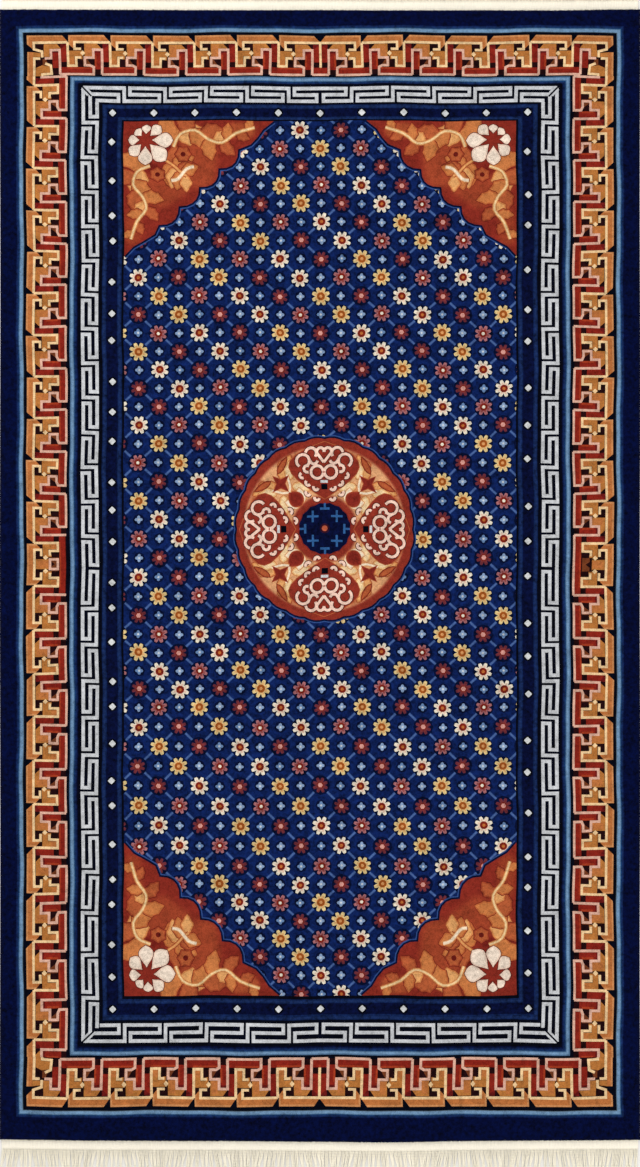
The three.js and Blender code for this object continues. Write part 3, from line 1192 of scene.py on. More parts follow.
def disc_marks():
    """The navy disc in the middle, with a cross in each quarter, a tee to each side and a red eye."""
    middle = medallion_point(0, 0)
    rows = []
    for part, dye in (("edge", LEAF_TONES["brick"]["heart"]), ("body", DYES["night navy"])):
        valley, crest = DISC_RADII[part]
        rows.append((flower_outline(*middle, DISC_LOBES, [(0, valley), (0.5, crest)]), dye))
    arm, cross_width = CROSS["arm"], CROSS["width"]
    for x in (-CROSS["at"], CROSS["at"]):
        for y in (-CROSS["at"], CROSS["at"]):
            for dx, dy in ((arm, 0), (0, arm)):
                ends = [medallion_point(x - dx, y - dy), medallion_point(x + dx, y + dy)]
                rows.append((line_outline(ends, cross_width), DYES["disc blue"]))
    for quarter in range(4):
        bar = turned([(-TEE["arm"], TEE["at"]), (TEE["arm"], TEE["at"])], quarter)
        stem = turned([(0, TEE["at"]), (0, TEE["reach"])], quarter)
        rows.append((line_outline(bar, TEE["width"]), DYES["disc blue"]))
        rows.append((line_outline(stem, cross_width), DYES["disc blue"]))
    rows.append((round_outline(*middle, DISC_EYE["plum"], 12), DYES["disc plum"]))
    rows.append((round_outline(*middle, DISC_EYE["dot"], 10), DYES["disc dot"]))
    return rows


def on_diagonal(quarter, beside_way):
    """Places a drawing of along and beside the line that runs out between two cloud heads."""
    half = math.sqrt(0.5)

    def place(points):
        return turned([((along - beside_way * beside) * half, (along + beside_way * beside) * half)
                       for beside, along in points], quarter)

    return place


def quarter_rows(quarter):
    rows = []
    for way in (1, -1):
        place = on_diagonal(quarter, way)
        for leaf in QUARTER_LEAVES:
            size = leaf["length"], leaf["width"]
            outline = leaf_outline(leaf["beside"], leaf["at"], *size, 90 - leaf["lean"], waves=leaf["waves"])
            rows += leaf_rows(leaf["tone"], outline, place)
        rows += ribbon_rows(place, **QUARTER_RIBBON)
    star = flower_outline(0, STAR["at"] * math.sqrt(2), 4, [(0, STAR["outer"]), (0.5, STAR["inner"])])
    return rows + leaf_rows("brick", star, on_diagonal(quarter, 1))


print("leaves in a quarter:", 2 * len(QUARTER_LEAVES))

# %% [markdown]
# The ground of the medallion is shaded like that of the spandrels, pale in the middle and brick towards
# the rim and round the disc. The strokes are given in one eighth, because the shading folds all others
# onto it.

# %% Chart the medallion
MEDALLION_GROUND = (234, 172, 122)
RIM_FROM = 151
MEDALLION_STROKES = [
    ((190, 96, 58), 9, 0.8, [(136, 50), (120, 84)]),
    ((190, 96, 58), 9, 0.8, [(50, 136), (84, 120)]),
    ((204, 116, 70), 20, 0.6, [(70, 48), (48, 70)]),
]
RIM_FADE = 5
DISC_GROUND = {"radius": 60, "fade": 6}


def medallion_chart():
    rows = [(medallion_outline(), "soft")]
    for draw in (quarter_rows, cloud_head):
        for quarter in range(4):
            rows += draw(quarter)
    return rows + disc_marks()


def shade_medallion(spots):
    centre = np.array(medallion_point(0, 0))
    stretch = np.array(medallion_point(1, 1)) - centre
    inward = np.abs(spots - centre) / stretch
    colour = brush(inward, MEDALLION_GROUND, MEDALLION_STROKES)
    radius = np.linalg.norm((spots - centre) / stretch, axis=1)
    rim = np.clip((radius - RIM_FROM) / RIM_FADE, 0, 1)
    round_the_disc = np.clip((DISC_GROUND["radius"] - radius) / DISC_GROUND["fade"] + 1, 0, 1)
    brick = np.maximum(rim, round_the_disc)[:, None]
    return colour * (1 - brick) + np.array(DYES["brick"], float) * brick


spots = np.array(medallion_outline())
inside = grid_inside(*spots.min(0), *spots.max(0), SHADE_STEP)
mesh = cloth_mesh("pile_medallion", medallion_chart(), PILE_TOP, PILE_WALL, shade_medallion, inside)
medallion_piece = show(mesh, pile_wool)

# %% [markdown]
# The field is one slab, as the real pile is. The net could stop at each spandrel by hand, but a hole in
# the chart does it exactly: the net is laid over everything, then a thin blue line and a dark one along
# each spandrel and round the medallion, and last the outlines of those pieces as holes.

# %% Cut the field
SPANDREL_LINES = [(11.5, "net blue"), (7.0, "halo navy")]
MEDALLION_LINES = [(5.6, "net blue"), (3.4, "halo navy")]
OUTSIDE = 90


def field_chart():
    rows = net_chart()
    rows += [(medallion_outline(grow), DYES[dye]) for grow, dye in MEDALLION_LINES]
    for spandrel in SPANDRELS:
        rows += [(line_outline(spandrel_line(spandrel), width), DYES[dye]) for width, dye in SPANDREL_LINES]
    rows += [(spandrel_outline(spandrel), None) for spandrel in SPANDRELS]
    rows.append((medallion_outline(), None))
    side, head, foot = (LIMITS["field"][key] for key in ("side", "head", "foot"))
    left, right, low, high = -side - OUTSIDE, side + OUTSIDE, -foot - OUTSIDE, head + OUTSIDE
    outside = [(left, low, -side, high), (side, low, right, high)]
    outside += [(left, low, right, -foot), (left, head, right, high)]
    return rows + [(stepped(box_outline(*box), STRAY_STEP), None) for box in outside]


mesh = cloth_mesh("pile_field", field_chart(), PILE_TOP, PILE_WALL)
field_piece = show(mesh, pile_wool)

# %% [markdown]
# Frets run along the four sides of a band and meet in its corners. Eight copies could be turned and
# mirrored, but the two ends and the sides differ in depth. So a run is a straight stretch from a corner to
# the middle of a side, and a point of a fret is given along the run and inwards from the band's outer
# edge. One drawing then serves all eight runs.

# %% Lay out the runs
KEY_MIDDLE = 15
FRET_MIDDLE = 21.9


def runs(outer, inner, ends_take_corners, middle_y):
    """The eight half sides of a band, as a corner, a way along, a way in, a length and a depth."""
    found = []
    out, into = LIMITS[outer], LIMITS[inner]
    for name, end in ENDS.items():
        for side in SIDES.values():
            corner = (side * out["side"], end * out[name])
            found.append({"at": corner, "along": (-side, 0), "in": (0, -end), "end": True,
                          "length": out["side"], "depth": out[name] - into[name]})
            start_y = end * (into[name] if ends_take_corners else out[name])
            found.append({"at": (corner[0], start_y), "along": (0, -end), "in": (-side, 0), "end": False,
                          "length": abs(start_y - middle_y), "depth": out["side"] - into["side"]})
    return found


def on_run(run, along, inward):
    x = run["at"][0] + run["along"][0] * along + run["in"][0] * inward
    y = run["at"][1] + run["along"][1] * along + run["in"][1] * inward
    return x, y


print("runs of the fret band:", len(runs("fret band", "fret inner line", True, FRET_MIDDLE)))

# %% [markdown]
# The key fret is one white line on black that winds through three lanes. It could be a repeated tile, but
# the winding is simple enough to walk: out, along, back and on. Its corners are mitred, so a run starts
# on the diagonal. The units are close at the head and fall off in length from the foot on, and what is
# left over goes into the middle. The pearls beside it are spaced evenly, with a small stray at the sides.

# %% Draw the key fret and the pearls
KEY_LINE = 6.6
KEY_LANES = (4.6, 17.9, 31.0)
KEY_DEPTH = 35.5
KEY_LENGTHS = {
    "end": {"first": 78.5, "last": 78.5, "count": 5, "over": 1},
    "head side": {"first": 65.6, "last": 65.6, "count": 13, "over": 1},
    "foot side": {"first": 82.0, "last": 69.0, "count": 11, "over": 9},
}
PEARL_SPACES = {"left": 27, "right": 23, "end": 10}
PEARL_STRAY = 9.0
KEY_GAP = 11.0
KEY_END = 6.5
KEY_WEDGE = 11
KEY_SLIT = {"width": 3.2, "before": 2, "after": 4}
PEARL_HALO = 9.6
PEARL_STRAY_PACE = 2.2
PEARL_ROWS = [(0, 6.6), (0.17, 5.9), (0.34, 5.2), (0.5, 5.1), (0.66, 5.2), (0.83, 5.9)]
GUARD_TONES = [(0.4, "dusk blue"), (-1.9, "sky blue"), (-6.0, "dusk blue"), (-7.6, "deep blue"),
               (-9.5, "guard blue"), (-11.4, "guard navy"), (-13.3, "night navy")]
BLUE_LINE_TONES = [(0.6, "guard navy"), (-1.2, "guard blue"), (-5.2, "guard navy")]
BLACK = [(0, "black")]
GUARD_LINES = [("fret inner line", BLACK), ("guard line", GUARD_TONES), ("key outer line", BLACK),
               ("outer blue line", BLUE_LINE_TONES), ("pearl band", [(0, "night navy")]),
               ("inner blue line", BLUE_LINE_TONES), ("field line", BLACK)]


def falling(first, last, count, over):
    """Lengths that fall smoothly from the first to the last over some units and then stay."""
    shares = [min(1, number / over) for number in range(count)]
    return [first + (last - first) * share * share * (3 - 2 * share) for share in shares]


def key_lines(run):
    """The first hook, which meets its neighbour on the corner's diagonal, and the winding line after it."""
    outer, middle, inner = [lane * run["depth"] / KEY_DEPTH for lane in KEY_LANES]
    side = "head side" if run["along"][1] < 0 else "foot side"
    units = falling(**KEY_LENGTHS["end" if run["end"] else side])
    here = outer + units[0]
    turn = here - KEY_GAP
    hook = [(inner, inner), (turn, inner), (turn, middle), (middle, middle)]
    line = [(outer, outer), (here, outer), (here, inner)]
    for length in units[1:] + [run["length"] - outer - sum(units) + KEY_END]:
        last = here + length > run["length"]
        turn = run["length"] - KEY_END if last else here + length - KEY_GAP
        line += [(turn, inner), (turn, middle), (here + KEY_GAP, middle), (here + KEY_GAP, outer)]
        here += length
        line += [(run["length"], outer)] if last else [(here, outer), (here, inner)]
    return [[on_run(run, along, inward) for along, inward in points] for points in (hook, line)]


def key_corner(run):
    """The white wedge of a corner and the black slit along its diagonal."""
    outer, middle, inner = [lane * run["depth"] / KEY_DEPTH for lane in KEY_LANES]
    wedge = [on_run(run, outer, outer), on_run(run, middle, middle)]
    start, finish = outer - KEY_SLIT["before"], middle + KEY_SLIT["after"]
    slit = [on_run(run, start, start), on_run(run, finish, finish)]
    lines = ((wedge, KEY_WEDGE, "chalk"), (slit, KEY_SLIT["width"], "black"))
    return [(line_outline(line, width), DYES[dye]) for line, width, dye in lines]


def pearls():
    band, line = LIMITS["pearl band"], LIMITS["inner blue line"]
    middle = {key: (band[key] + line[key]) / 2 for key in ("side", "head", "foot")}
    length = middle["head"] + middle["foot"]
    places = []
    for number in range(PEARL_SPACES["end"] + 1):
        x = middle["side"] * (2 * number / PEARL_SPACES["end"] - 1)
        places += [(x, middle["head"]), (x, -middle["foot"])]
    for side, sign in SIDES.items():
        for number in range(1, PEARL_SPACES[side]):
            stray = PEARL_STRAY * math.sin(PEARL_STRAY_PACE * number + sign)
            down = length * number / PEARL_SPACES[side]
            places.append((sign * middle["side"], middle["head"] - down + stray))
    return places


def guard_chart():
    rows = []
    for name, tones in GUARD_LINES:
        rows += line_tones(name, tones)
    key_runs = runs("key band", "key inner line", False, KEY_MIDDLE)
    for run in key_runs:
        rows += [(line_outline(line, KEY_LINE), DYES["chalk"]) for line in key_lines(run)]
    for run in key_runs:
        rows += key_corner(run) if run["end"] else []
    for x, y in pearls():
        rows.append((round_outline(x, y, PEARL_HALO, 8), DYES["black"]))
        rows.append((flower_outline(x, y, 4, PEARL_ROWS), DYES["pearl"]))
    return rows + [(band_box("field"), None)]


mesh = cloth_mesh("pile_guard", guard_chart(), PILE_TOP, PILE_WALL)
guard_piece = show(mesh, pile_wool)

# %% [markdown]
# The main border is a fret drawn as if it stood in relief: ribbons with a light edge, an orange or
# brick face and a dark side. The wool itself is level, so only the dyes make the relief, and real steps
# would be wrong. One unit is charted on a grid of 24 along and 28 inwards, and a second chart
# turns the corner. The two strokes that would join in the middle of a unit end short of each other.
# Along the sides the units are longer towards the foot, by the same rule as the key fret's.

# %% Draw the relief fret
UNIT_LENGTH = 24
UNIT_DEPTH = 28
FRET_LINE = 1.5
END_UNITS = 7
SIDE_UNITS = {
    "head": {"start": 17.7, "lengths": {"first": 79.4, "last": 79.4, "count": 12, "over": 1}},
    "foot": {"start": 33.5, "lengths": {"first": 94.5, "last": 83.0, "count": 11, "over": 5}},
}
FRET_FACES = [
    ("fret dark", [(0, 5.3), (24, 5.3), (24, 27.3), (0, 27.3)]),
    ("fret orange", [(0.5, 0.4), (20.6, 0.4), (23.8, 4.7), (3.9, 4.7), (3.9, 8.2), (3, 9.4), (0.5, 6.6)]),
    ("fret peach", [(0.5, 0.4), (20.6, 0.4), (21.5, 1.5), (1.5, 1.5), (1.5, 7.6), (0.5, 6.6)]),
    ("ochre", [(0.6, 11.2), (8, 11.2), (8, 14.9), (3.7, 14.9), (3.7, 20.7), (0.6, 20.7)]),
    ("fret orange", [(0.6, 17), (3.7, 17), (3.7, 20.7), (0.6, 20.7)]),
    ("ochre", [(9.4, 6.3), (16.6, 6.3), (19, 9.6), (13.7, 9.6), (13.7, 15), (8.2, 15), (8.2, 17), (6.8, 17),
               (6.8, 14.9), (9.4, 14.9)]),
    ("fret orange", [(10.2, 7.6), (13.6, 7.6), (13.6, 14.9), (10.2, 14.9)]),
    ("fret brown", [(8.4, 16.6), (10.6, 16.6), (13.6, 21.6), (8.4, 21.6)]),
    ("fret dark", [(10.9, 16.8), (14.4, 16.8), (14.4, 21.2)]),
    ("fret cream", [(8.4, 11.1), (9.8, 12.9), (8.4, 14.7), (7, 12.9)]),
    ("fret brick", [(-4.2, 6.4), (-0.7, 6.4), (-0.7, 18.8), (-4.2, 18.8)]),
    ("maroon", [(-4.2, 6.4), (-0.7, 6.4), (-0.7, 7), (-3.6, 9.6), (-4.2, 9.6)]),
    ("fret brick", [(-3.9, 22.4), (13.7, 22.4), (13.7, 26.7), (-3.9, 26.7)]),
    ("cinnabar", [(-0.4, 22.4), (13.7, 22.4), (13.7, 23.5), (-0.4, 23.5)]),
    ("fret brick", [(15.1, 11.2), (18.6, 11.2), (18.6, 23.8), (15.1, 23.8)]),
    ("maroon", [(15.1, 11.2), (18.6, 11.2), (18.6, 12.6), (15.1, 12.6)]),
    ("cinnabar", [(15.1, 14), (16.2, 14), (16.2, 22), (15.1, 22)]),
]
FRET_LINES = [
    ("fret cream", [(7.6, 10), (3.9, 10), (3.9, 5.3), (24, 5.3)]),
    ("fret cream", [(0, 5.3), (0, 21.5), (4.6, 21.5), (4.6, 15.9), (7.4, 15.9)]),
    ("fret pink", [(-4.7, 27.3), (14.5, 27.3), (14.5, 22.3), (12.6, 21.2), (9.5, 21.2), (9.5, 15.9),
                   (14.4, 15.9), (14.4, 10.4), (19.3, 10.4), (19.3, 27.3)]),
]
CORNER_FACES = [
    ("fret dark", [(4.4, 5.3), (24, 5.3), (24, 27.3), (4.4, 28)]),
    ("fret orange", [(0.7, 0.4), (21, 0.4), (24, 4.7), (3.8, 4.7), (3.8, 9.4), (0.7, 6.4)]),
    ("fret peach", [(0.7, 0.4), (21, 0.4), (21.8, 1.5), (1.7, 1.5), (1.7, 7.4), (0.7, 6.4)]),
    ("fret orange", [(0.7, 11.6), (3.9, 11.6), (3.9, 28), (0.7, 28)]),
    ("fret peach", [(0.7, 11.6), (1.7, 11.6), (1.7, 28), (0.7, 28)]),
    ("ochre", [(3.8, 11.6), (8.3, 12.2), (8.3, 14.9), (3.8, 14.9)]),
    ("ochre", [(10.4, 6.3), (18, 6.3), (20, 9.4), (13.5, 9.6), (13.5, 14.9), (10, 14.9)]),
    ("fret brown", [(9.4, 16.4), (11.2, 16.4), (12.8, 20.6), (9.4, 20.6)]),
    ("fret brick", [(15.1, 11.4), (18.6, 11.4), (18.6, 22.8), (15.1, 22.8)]),
    ("maroon", [(15.1, 11.4), (18.6, 11.4), (18.6, 12.6), (15.1, 12.6)]),
    ("ochre", [(5.4, 22.4), (9, 20.6), (13.2, 21.4), (13.8, 25.8), (8.6, 26), (8.4, 28), (5.4, 28)]),
]
CORNER_LINES = [
    ("fret cream", [(24, 5.3), (4.6, 5.3), (4.6, 9.6), (9.2, 11.2), (9.2, 15.2)]),
    ("fret cream", [(4.6, 28), (4.6, 15.9), (8, 15.9)]),
    ("fret pink", [(10.6, 15.9), (14.3, 15.9), (14.3, 10.4), (19.3, 10.4), (19.3, 27.3)]),
    ("fret cream", [(10.8, 19.4), (14, 21), (14.5, 26.6), (9.2, 26.9), (9.2, 28)]),
]
FRET_NOTCH = [(-2.8, -0.4), (0.5, -0.4), (0.5, 4.6)]
print("faces in a unit:", len(FRET_FACES))

# %% [markdown]
# The charts are laid along the runs. A unit is stretched to its own length and cut off where the run
# ends, so a run may hold a part of a unit, as a weaver's does. All faces go down first, then all lines,
# so that no line is covered by the next unit's face. Outside the fret runs a blue line in six tones.

# %% Lay the relief fret
THINNEST_PART = 0.3
FRAME_GLOW = 5.5
FRAME_TONES = [(FRAME_GLOW, "guard navy"), (3.6, "guard blue"), (1.8, "deep blue"), (0, "dusk blue"),
               (-1.4, "sky blue"), (-6.6, "grey blue")]


def fret_units(run):
    """Where each unit on a run starts, how long it is, and whether it turns the corner."""
    if run["end"]:
        pitch = run["length"] / END_UNITS
        return [(number * pitch, pitch, number == 0) for number in range(END_UNITS + 1)]
    sides = SIDE_UNITS["head" if run["along"][1] < 0 else "foot"]
    lengths = falling(**sides["lengths"])
    units = [(sides["start"] - lengths[0], lengths[0], False)]
    for length in lengths:
        units.append((units[-1][0] + units[-1][1], length, False))
    return units


def fret_chart(run):
    """Faces and then lines of all units, cut off at the run's two ends."""
    faces, lines = [], []
    deep = run["depth"] / UNIT_DEPTH
    for start, length, corner in fret_units(run):
        step = length / UNIT_LENGTH

        def placed(points):
            return [(start + u * step, v * deep) for u, v in points]

        faces += [(dye, placed(points)) for dye, points in (CORNER_FACES if corner else FRET_FACES)]
        if not corner:
            faces.append(("black", placed(FRET_NOTCH)))
        for dye, points in CORNER_LINES if corner else FRET_LINES:
            lines.append((dye, line_outline(placed(points), FRET_LINE * (step + deep) / 2)))
    rows = []
    for dye, outline in faces + lines:
        part = clipped(outline, 0.0, run["length"])
        if len(part) > 2 and max(part)[0] - min(part)[0] > THINNEST_PART:
            rows.append(([on_run(run, along, inward) for along, inward in part], DYES[dye]))
    return rows


def border_chart():
    rows = line_tones("frame line", FRAME_TONES) + [(band_box("fret outer line"), DYES["black"])]
    for run in runs("fret band", "fret inner line", True, FRET_MIDDLE):
        rows += fret_chart(run)
    return rows + [(band_box("fret inner line"), None)]


mesh = cloth_mesh("pile_border", border_chart(), PILE_TOP, PILE_WALL)
border_piece = show(mesh, pile_wool)

# %% [markdown]
# The plain navy edge is the only part of the pile whose wall shows. A Bevel modifier would round it too,
# but the solid's own rings give its outline at each height, so the edge follows the solid exactly. At the
# sides it stands in a little, to leave room for the wrapped selvedge.

# %% Cut the navy edge
WIDEST_RING = 6.4
SELVEDGE_ROOM = 3.4
SOLID_TOP_DRAWN_IN = 6.5
EDGE_WALL = [(3.0, 10.4), (1.1, 9), (0.3, 6.4), (0.5, FOUNDATION_THICKNESS)]
RIM_MARGIN = 14
HEIGHT_TOLERANCE = 0.05


def ring_of_solid(height):
    """The rug's outline at one height of the solid, anticlockwise."""
    found = {}
    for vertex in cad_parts["rug_pile"].data.vertices:
        x, y, z = (value / MM for value in vertex.co)
        if abs(z - height) < HEIGHT_TOLERANCE:
            found[(round(x, 2), round(y, 2))] = (x, y)
    return sorted(found.values(), key=lambda point: math.atan2(point[1], point[0]))


rug_ring = ring_of_solid(WIDEST_RING)
pile_length = max(y for _, y in rug_ring) - min(y for _, y in rug_ring)
side_share = 1 - 2 * SELVEDGE_ROOM / PILE_WIDTH


def share_left(drawn_in):
    """What is left of the rug's width and length when it is drawn in on every side."""
    return np.array([1 - 2 * drawn_in / PILE_WIDTH, 1 - 2 * drawn_in / pile_length])


def drawn(drawn_in):
    """The rug's outline drawn in on every side, and by the room for the selvedge at the sides."""
    return np.array(rug_ring) * share_left(drawn_in) * np.array([side_share, 1])


def edge_spread(spots, drawn_in):
    """Moves the outer rim out from the top's outline. The inner rim stays."""
    line = LIMITS["frame line"]
    x, y = spots.T
    outer = np.abs(x) > line["side"] + RIM_MARGIN
    outer |= (y > line["head"] + RIM_MARGIN) | (y < -line["foot"] - RIM_MARGIN)
    moved = spots / share_left(SOLID_TOP_DRAWN_IN) * share_left(drawn_in)
    return np.where(outer[:, None], moved, spots)


edge_chart = [([tuple(p) for p in drawn(SOLID_TOP_DRAWN_IN)], DYES["edge navy"])]
edge_chart.append((band_box("frame line", FRAME_GLOW), None))
mesh = cloth_mesh("pile_edge", edge_chart, PILE_TOP, EDGE_WALL, spread=edge_spread)
edge_piece = show(mesh, pile_wool)

# %% [markdown]
# The foundation is the cloth itself: a closed woven sheet. A plain sheet would do for the photo's side,
# but a knotted rug shows every knot on its back. So the back is a chart of its own, with the same frets,
# pearls and net, and a plainer drawing of the rosettes, the spandrels and the medallion.

# %% Weave the foundation
BACK_DRAWN_IN = 0.8
FOUNDATION_WALL = [(0.6, 0.8), (0.6, 2.6), (0, FOUNDATION_THICKNESS)]


def in_field(outline):
    """The part of an outline that lies in the field's box."""
    side, head, foot = (LIMITS["field"][key] for key in ("side", "head", "foot"))
    part = [(y, x) for x, y in clipped(outline, -side, side)]
    return [(x, y) for y, x in clipped(part, -foot, head)]


def back_chart():
    ring = [tuple(p) for p in drawn(BACK_DRAWN_IN)]
    rows = [(ring, DYES["edge navy"]), (band_box("frame line"), DYES["sky blue"])]
    rows.append((band_box("fret outer line"), DYES["black"]))
    for run in runs("fret band", "fret inner line", True, FRET_MIDDLE):
        rows += fret_chart(run)
    rows += [row for row in guard_chart() if row[1] is not None]
    net = [(in_field(outline), dye) for outline, dye in net_chart(fine=False)]
    rows += [row for row in net if len(row[0]) > 2]
    for spandrel in SPANDRELS:
        rows.append((spandrel_outline(spandrel), DYES["brick"]))
        place = in_spandrel(spandrel)
        rows += [(outline, dye) for outline, dye in lotus_rows(place) if dye == DYES["petal"]]
    rows.append((medallion_outline(), DYES["brick"]))
    for quarter in range(4):
        rows += cloud_head(quarter)
    return rows + disc_marks()


def back_spread(spots, out):
    return spots * (1 + out * 2 / np.array([PILE_WIDTH, pile_length]))


mesh = cloth_mesh("rug_foundation", back_chart(), 0.0, FOUNDATION_WALL, spread=back_spread)
foundation = show(mesh, pile_wool)

# %% [markdown]
# What repeats or follows a path is grown by Geometry Nodes. A loop in Python could place every copy too,
# but a tree has its sizes as named inputs, and one tree serves both ends of the rug. These tools build a
# tree, run it on a path and keep the result as a plain mesh. Realize Instances turns the copies into
# faces, because an export drops copies that exist only in a tree.

# %% Make the node tools
GEOMETRY = "NodeSocketGeometry"
NUMBER = "NodeSocketFloat"


def node_tree(name, numbers):
    """A Geometry Nodes tree with named number inputs and a material input."""
    tree = bpy.data.node_groups.new(name, "GeometryNodeTree")
    tree.interface.new_socket("Geometry", in_out="INPUT", socket_type=GEOMETRY)
    for label in numbers:
        tree.interface.new_socket(label, in_out="INPUT", socket_type=NUMBER)
    tree.interface.new_socket("Material", in_out="INPUT", socket_type="NodeSocketMaterial")
    tree.interface.new_socket("Geometry", in_out="OUTPUT", socket_type=GEOMETRY)
    return tree, tree.nodes.new("NodeGroupInput"), tree.nodes.new("NodeGroupOutput")


def fed_node(tree, kind, sources, **settings):
    """A node whose inputs each come from a socket or are a plain value. Returns its outputs."""
    node = add_node(tree, kind, **settings)
    for label, source in sources.items():
        if isinstance(source, bpy.types.NodeSocket):
            tree.links.new(source, node.inputs[label])
        else:
            node.inputs[label].default_value = source
    return node.outputs


def points_along(tree, curve, pitch):
    return fed_node(tree, "GeometryNodeCurveToPoints", {"Curve": curve, "Length": pitch}, mode="LENGTH")


def copies(tree, points, instance, way, scale=None):
    """Copies of a shape on some points, each with its Z axis turned a given way."""
    turn = fed_node(tree, "FunctionNodeAlignRotationToVector", {"Vector": way}, axis="Z")
    sources = {"Points": points, "Instance": instance, "Rotation": turn[0]}
    if scale is not None:
        sources["Scale"] = scale
    return fed_node(tree, "GeometryNodeInstanceOnPoints", sources)[0]


def circle(tree, sides, radius):
    return fed_node(tree, "GeometryNodeCurvePrimitiveCircle", {"Resolution": sides, "Radius": radius})[0]


def swept(tree, curve, section, capped):
    sources = {"Curve": curve, "Profile Curve": section, "Fill Caps": capped}
    return fed_node(tree, "GeometryNodeCurveToMesh", sources)[0]


def finish_tree(tree, start, end, geometry):
    """Realizes the copies, gives them the material and ends the tree."""
    real = fed_node(tree, "GeometryNodeRealizeInstances", {0: geometry})
    sources = {"Geometry": real[0], "Material": start.outputs["Material"]}
    dressed = fed_node(tree, "GeometryNodeSetMaterial", sources)
    tree.links.new(dressed[0], end.inputs["Geometry"])


def curve_object(name, lines, closed):
    """Straight-stepped lines in millimetres as one curve object."""
    data = bpy.data.curves.new(name + "_path", "CURVE")
    data.dimensions = "3D"
    for line in lines:
        spline = data.splines.new("POLY")
        spline.points.add(len(line) - 1)
        spline.points.foreach_set("co", [value for x, y, z in line for value in (x * MM, y * MM, z * MM, 1)])
        spline.use_cyclic_u = closed
    path = bpy.data.objects.new(name + "_path", data)
    scene.collection.objects.link(path)
    return path


def grow(name, path, tree, **values):
    """Runs a tree on a path and keeps the result as a plain mesh piece."""
    modifier = path.modifiers.new("grow", "NODES")
    modifier.node_group = tree
    sockets = {item.name: item.identifier for item in tree.interface.items_tree if item.in_out == "INPUT"}
    for label, value in values.items():
        modifier[sockets[label.replace("_", " ")]] = value
    evaluated = path.evaluated_get(bpy.context.evaluated_depsgraph_get())
    mesh = bpy.data.meshes.new_from_object(evaluated)
    mesh.name = name
    bpy.data.objects.remove(path)
    mesh.calc_loop_triangles()
    print(name, "triangles:", len(mesh.loop_triangles))
    return show(mesh)


print("edge of the rug to walk along:", round(2 * (PILE_WIDTH + pile_length)), "mm")

# %% [markdown]
# Seen from the side, the edge of the pile is a row of yarn ends leaning outwards. Hair particles would
# look softer, but they are no mesh. So a tree walks along four outlines of the edge and plants a small
# tapered tuft every few millimetres, pointing out and up with a little chance in it.

# %% Plant the tufts on the edge
TUFT_ROWS = [(0.6, 4.2), (0.6, 5.9), (1.3, 7.6), (2.9, 9.2)]
TUFT_PITCH = 2.6
TUFT_LENGTH = 2.7
TUFT_RADIUS = 1.2
TUFT_SIDES = 4
TUFT_TAPER = 0.45
TUFT_SIZES = (0.8, 1.2)
TUFT_LIFT = 0.45
TUFT_CHANCE = 0.25
TUFT_SEED = 4
UP = (0, 0, 1)


def vector_maths(tree, operation, sources):
    return fed_node(tree, "ShaderNodeVectorMath", sources, operation=operation)[0]


def tuft_tree():
    tree, start, end = node_tree("edge_tufts", ["Pitch", "Length", "Radius", "Lift", "Chance"])
    sizes = start.outputs
    points = points_along(tree, sizes["Geometry"], sizes["Pitch"])
    outward = vector_maths(tree, "CROSS_PRODUCT", {0: points["Tangent"], 1: UP})
    upward = fed_node(tree, "ShaderNodeCombineXYZ", {"Z": sizes["Lift"]})[0]
    leaning = vector_maths(tree, "ADD", {0: outward, 1: upward})
    chance = {0: (-1, -1, -1), "Seed": TUFT_SEED}
    stray = fed_node(tree, "FunctionNodeRandomValue", chance, data_type="FLOAT_VECTOR")[0]
    straying = vector_maths(tree, "SCALE", {0: stray, "Scale": sizes["Chance"]})
    way = vector_maths(tree, "ADD", {0: leaning, 1: straying})
    narrow = maths(tree, "MULTIPLY", sizes["Radius"], TUFT_TAPER)
    shape = {"Radius Top": narrow, "Radius Bottom": sizes["Radius"], "Depth": sizes["Length"]}
    tuft = fed_node(tree, "GeometryNodeMeshCone", {"Vertices": TUFT_SIDES, **shape})["Mesh"]
    chance = {2: TUFT_SIZES[0], 3: TUFT_SIZES[1], "Seed": TUFT_SEED + 1}
    size = fed_node(tree, "FunctionNodeRandomValue", chance, data_type="FLOAT")[1]
    finish_tree(tree, start, end, copies(tree, points["Points"], tuft, way, size))
    return tree


tuft_lines = []
for drawn_in, height in TUFT_ROWS:
    tuft_lines.append([(x, y, height) for x, y in drawn(drawn_in + TUFT_LENGTH / 2)])
tufts = grow("edge_tufts", curve_object("edge_tufts", tuft_lines, True), tuft_tree(), Pitch=TUFT_PITCH * MM,
             Length=TUFT_LENGTH * MM, Radius=TUFT_RADIUS * MM, Lift=TUFT_LIFT, Chance=TUFT_CHANCE,
             Material=navy_wool)

# %% [markdown]
# The long sides are selvedges: the outer warps are wrapped round and round with navy wool, which makes
# a cord along the edge. A single helix of some 1000 turns would be truer but hard to keep closed, so one
# tree sweeps the cord and sets a ring of yarn on it every few millimetres, which looks the same.

# %% Wrap the selvedges
CORD_RADIUS = 2.1
WRAP_RADIUS = 0.62
WRAP_PITCH = 2.1
CORD_SIDES = 8
WRAP_SIDES = 7
YARN_SIDES = 4
SELVEDGE_REACH = 8
CORD_LIFT = 0.1


def selvedge_line(side):
    radius = CORD_RADIUS + WRAP_RADIUS
    line = [(x - side * radius, y) for x, y in rug_ring if x * side > PILE_WIDTH / 2 - SELVEDGE_REACH]
    return [(x, y, radius + CORD_LIFT) for x, y in sorted(line, key=lambda point: point[1])]


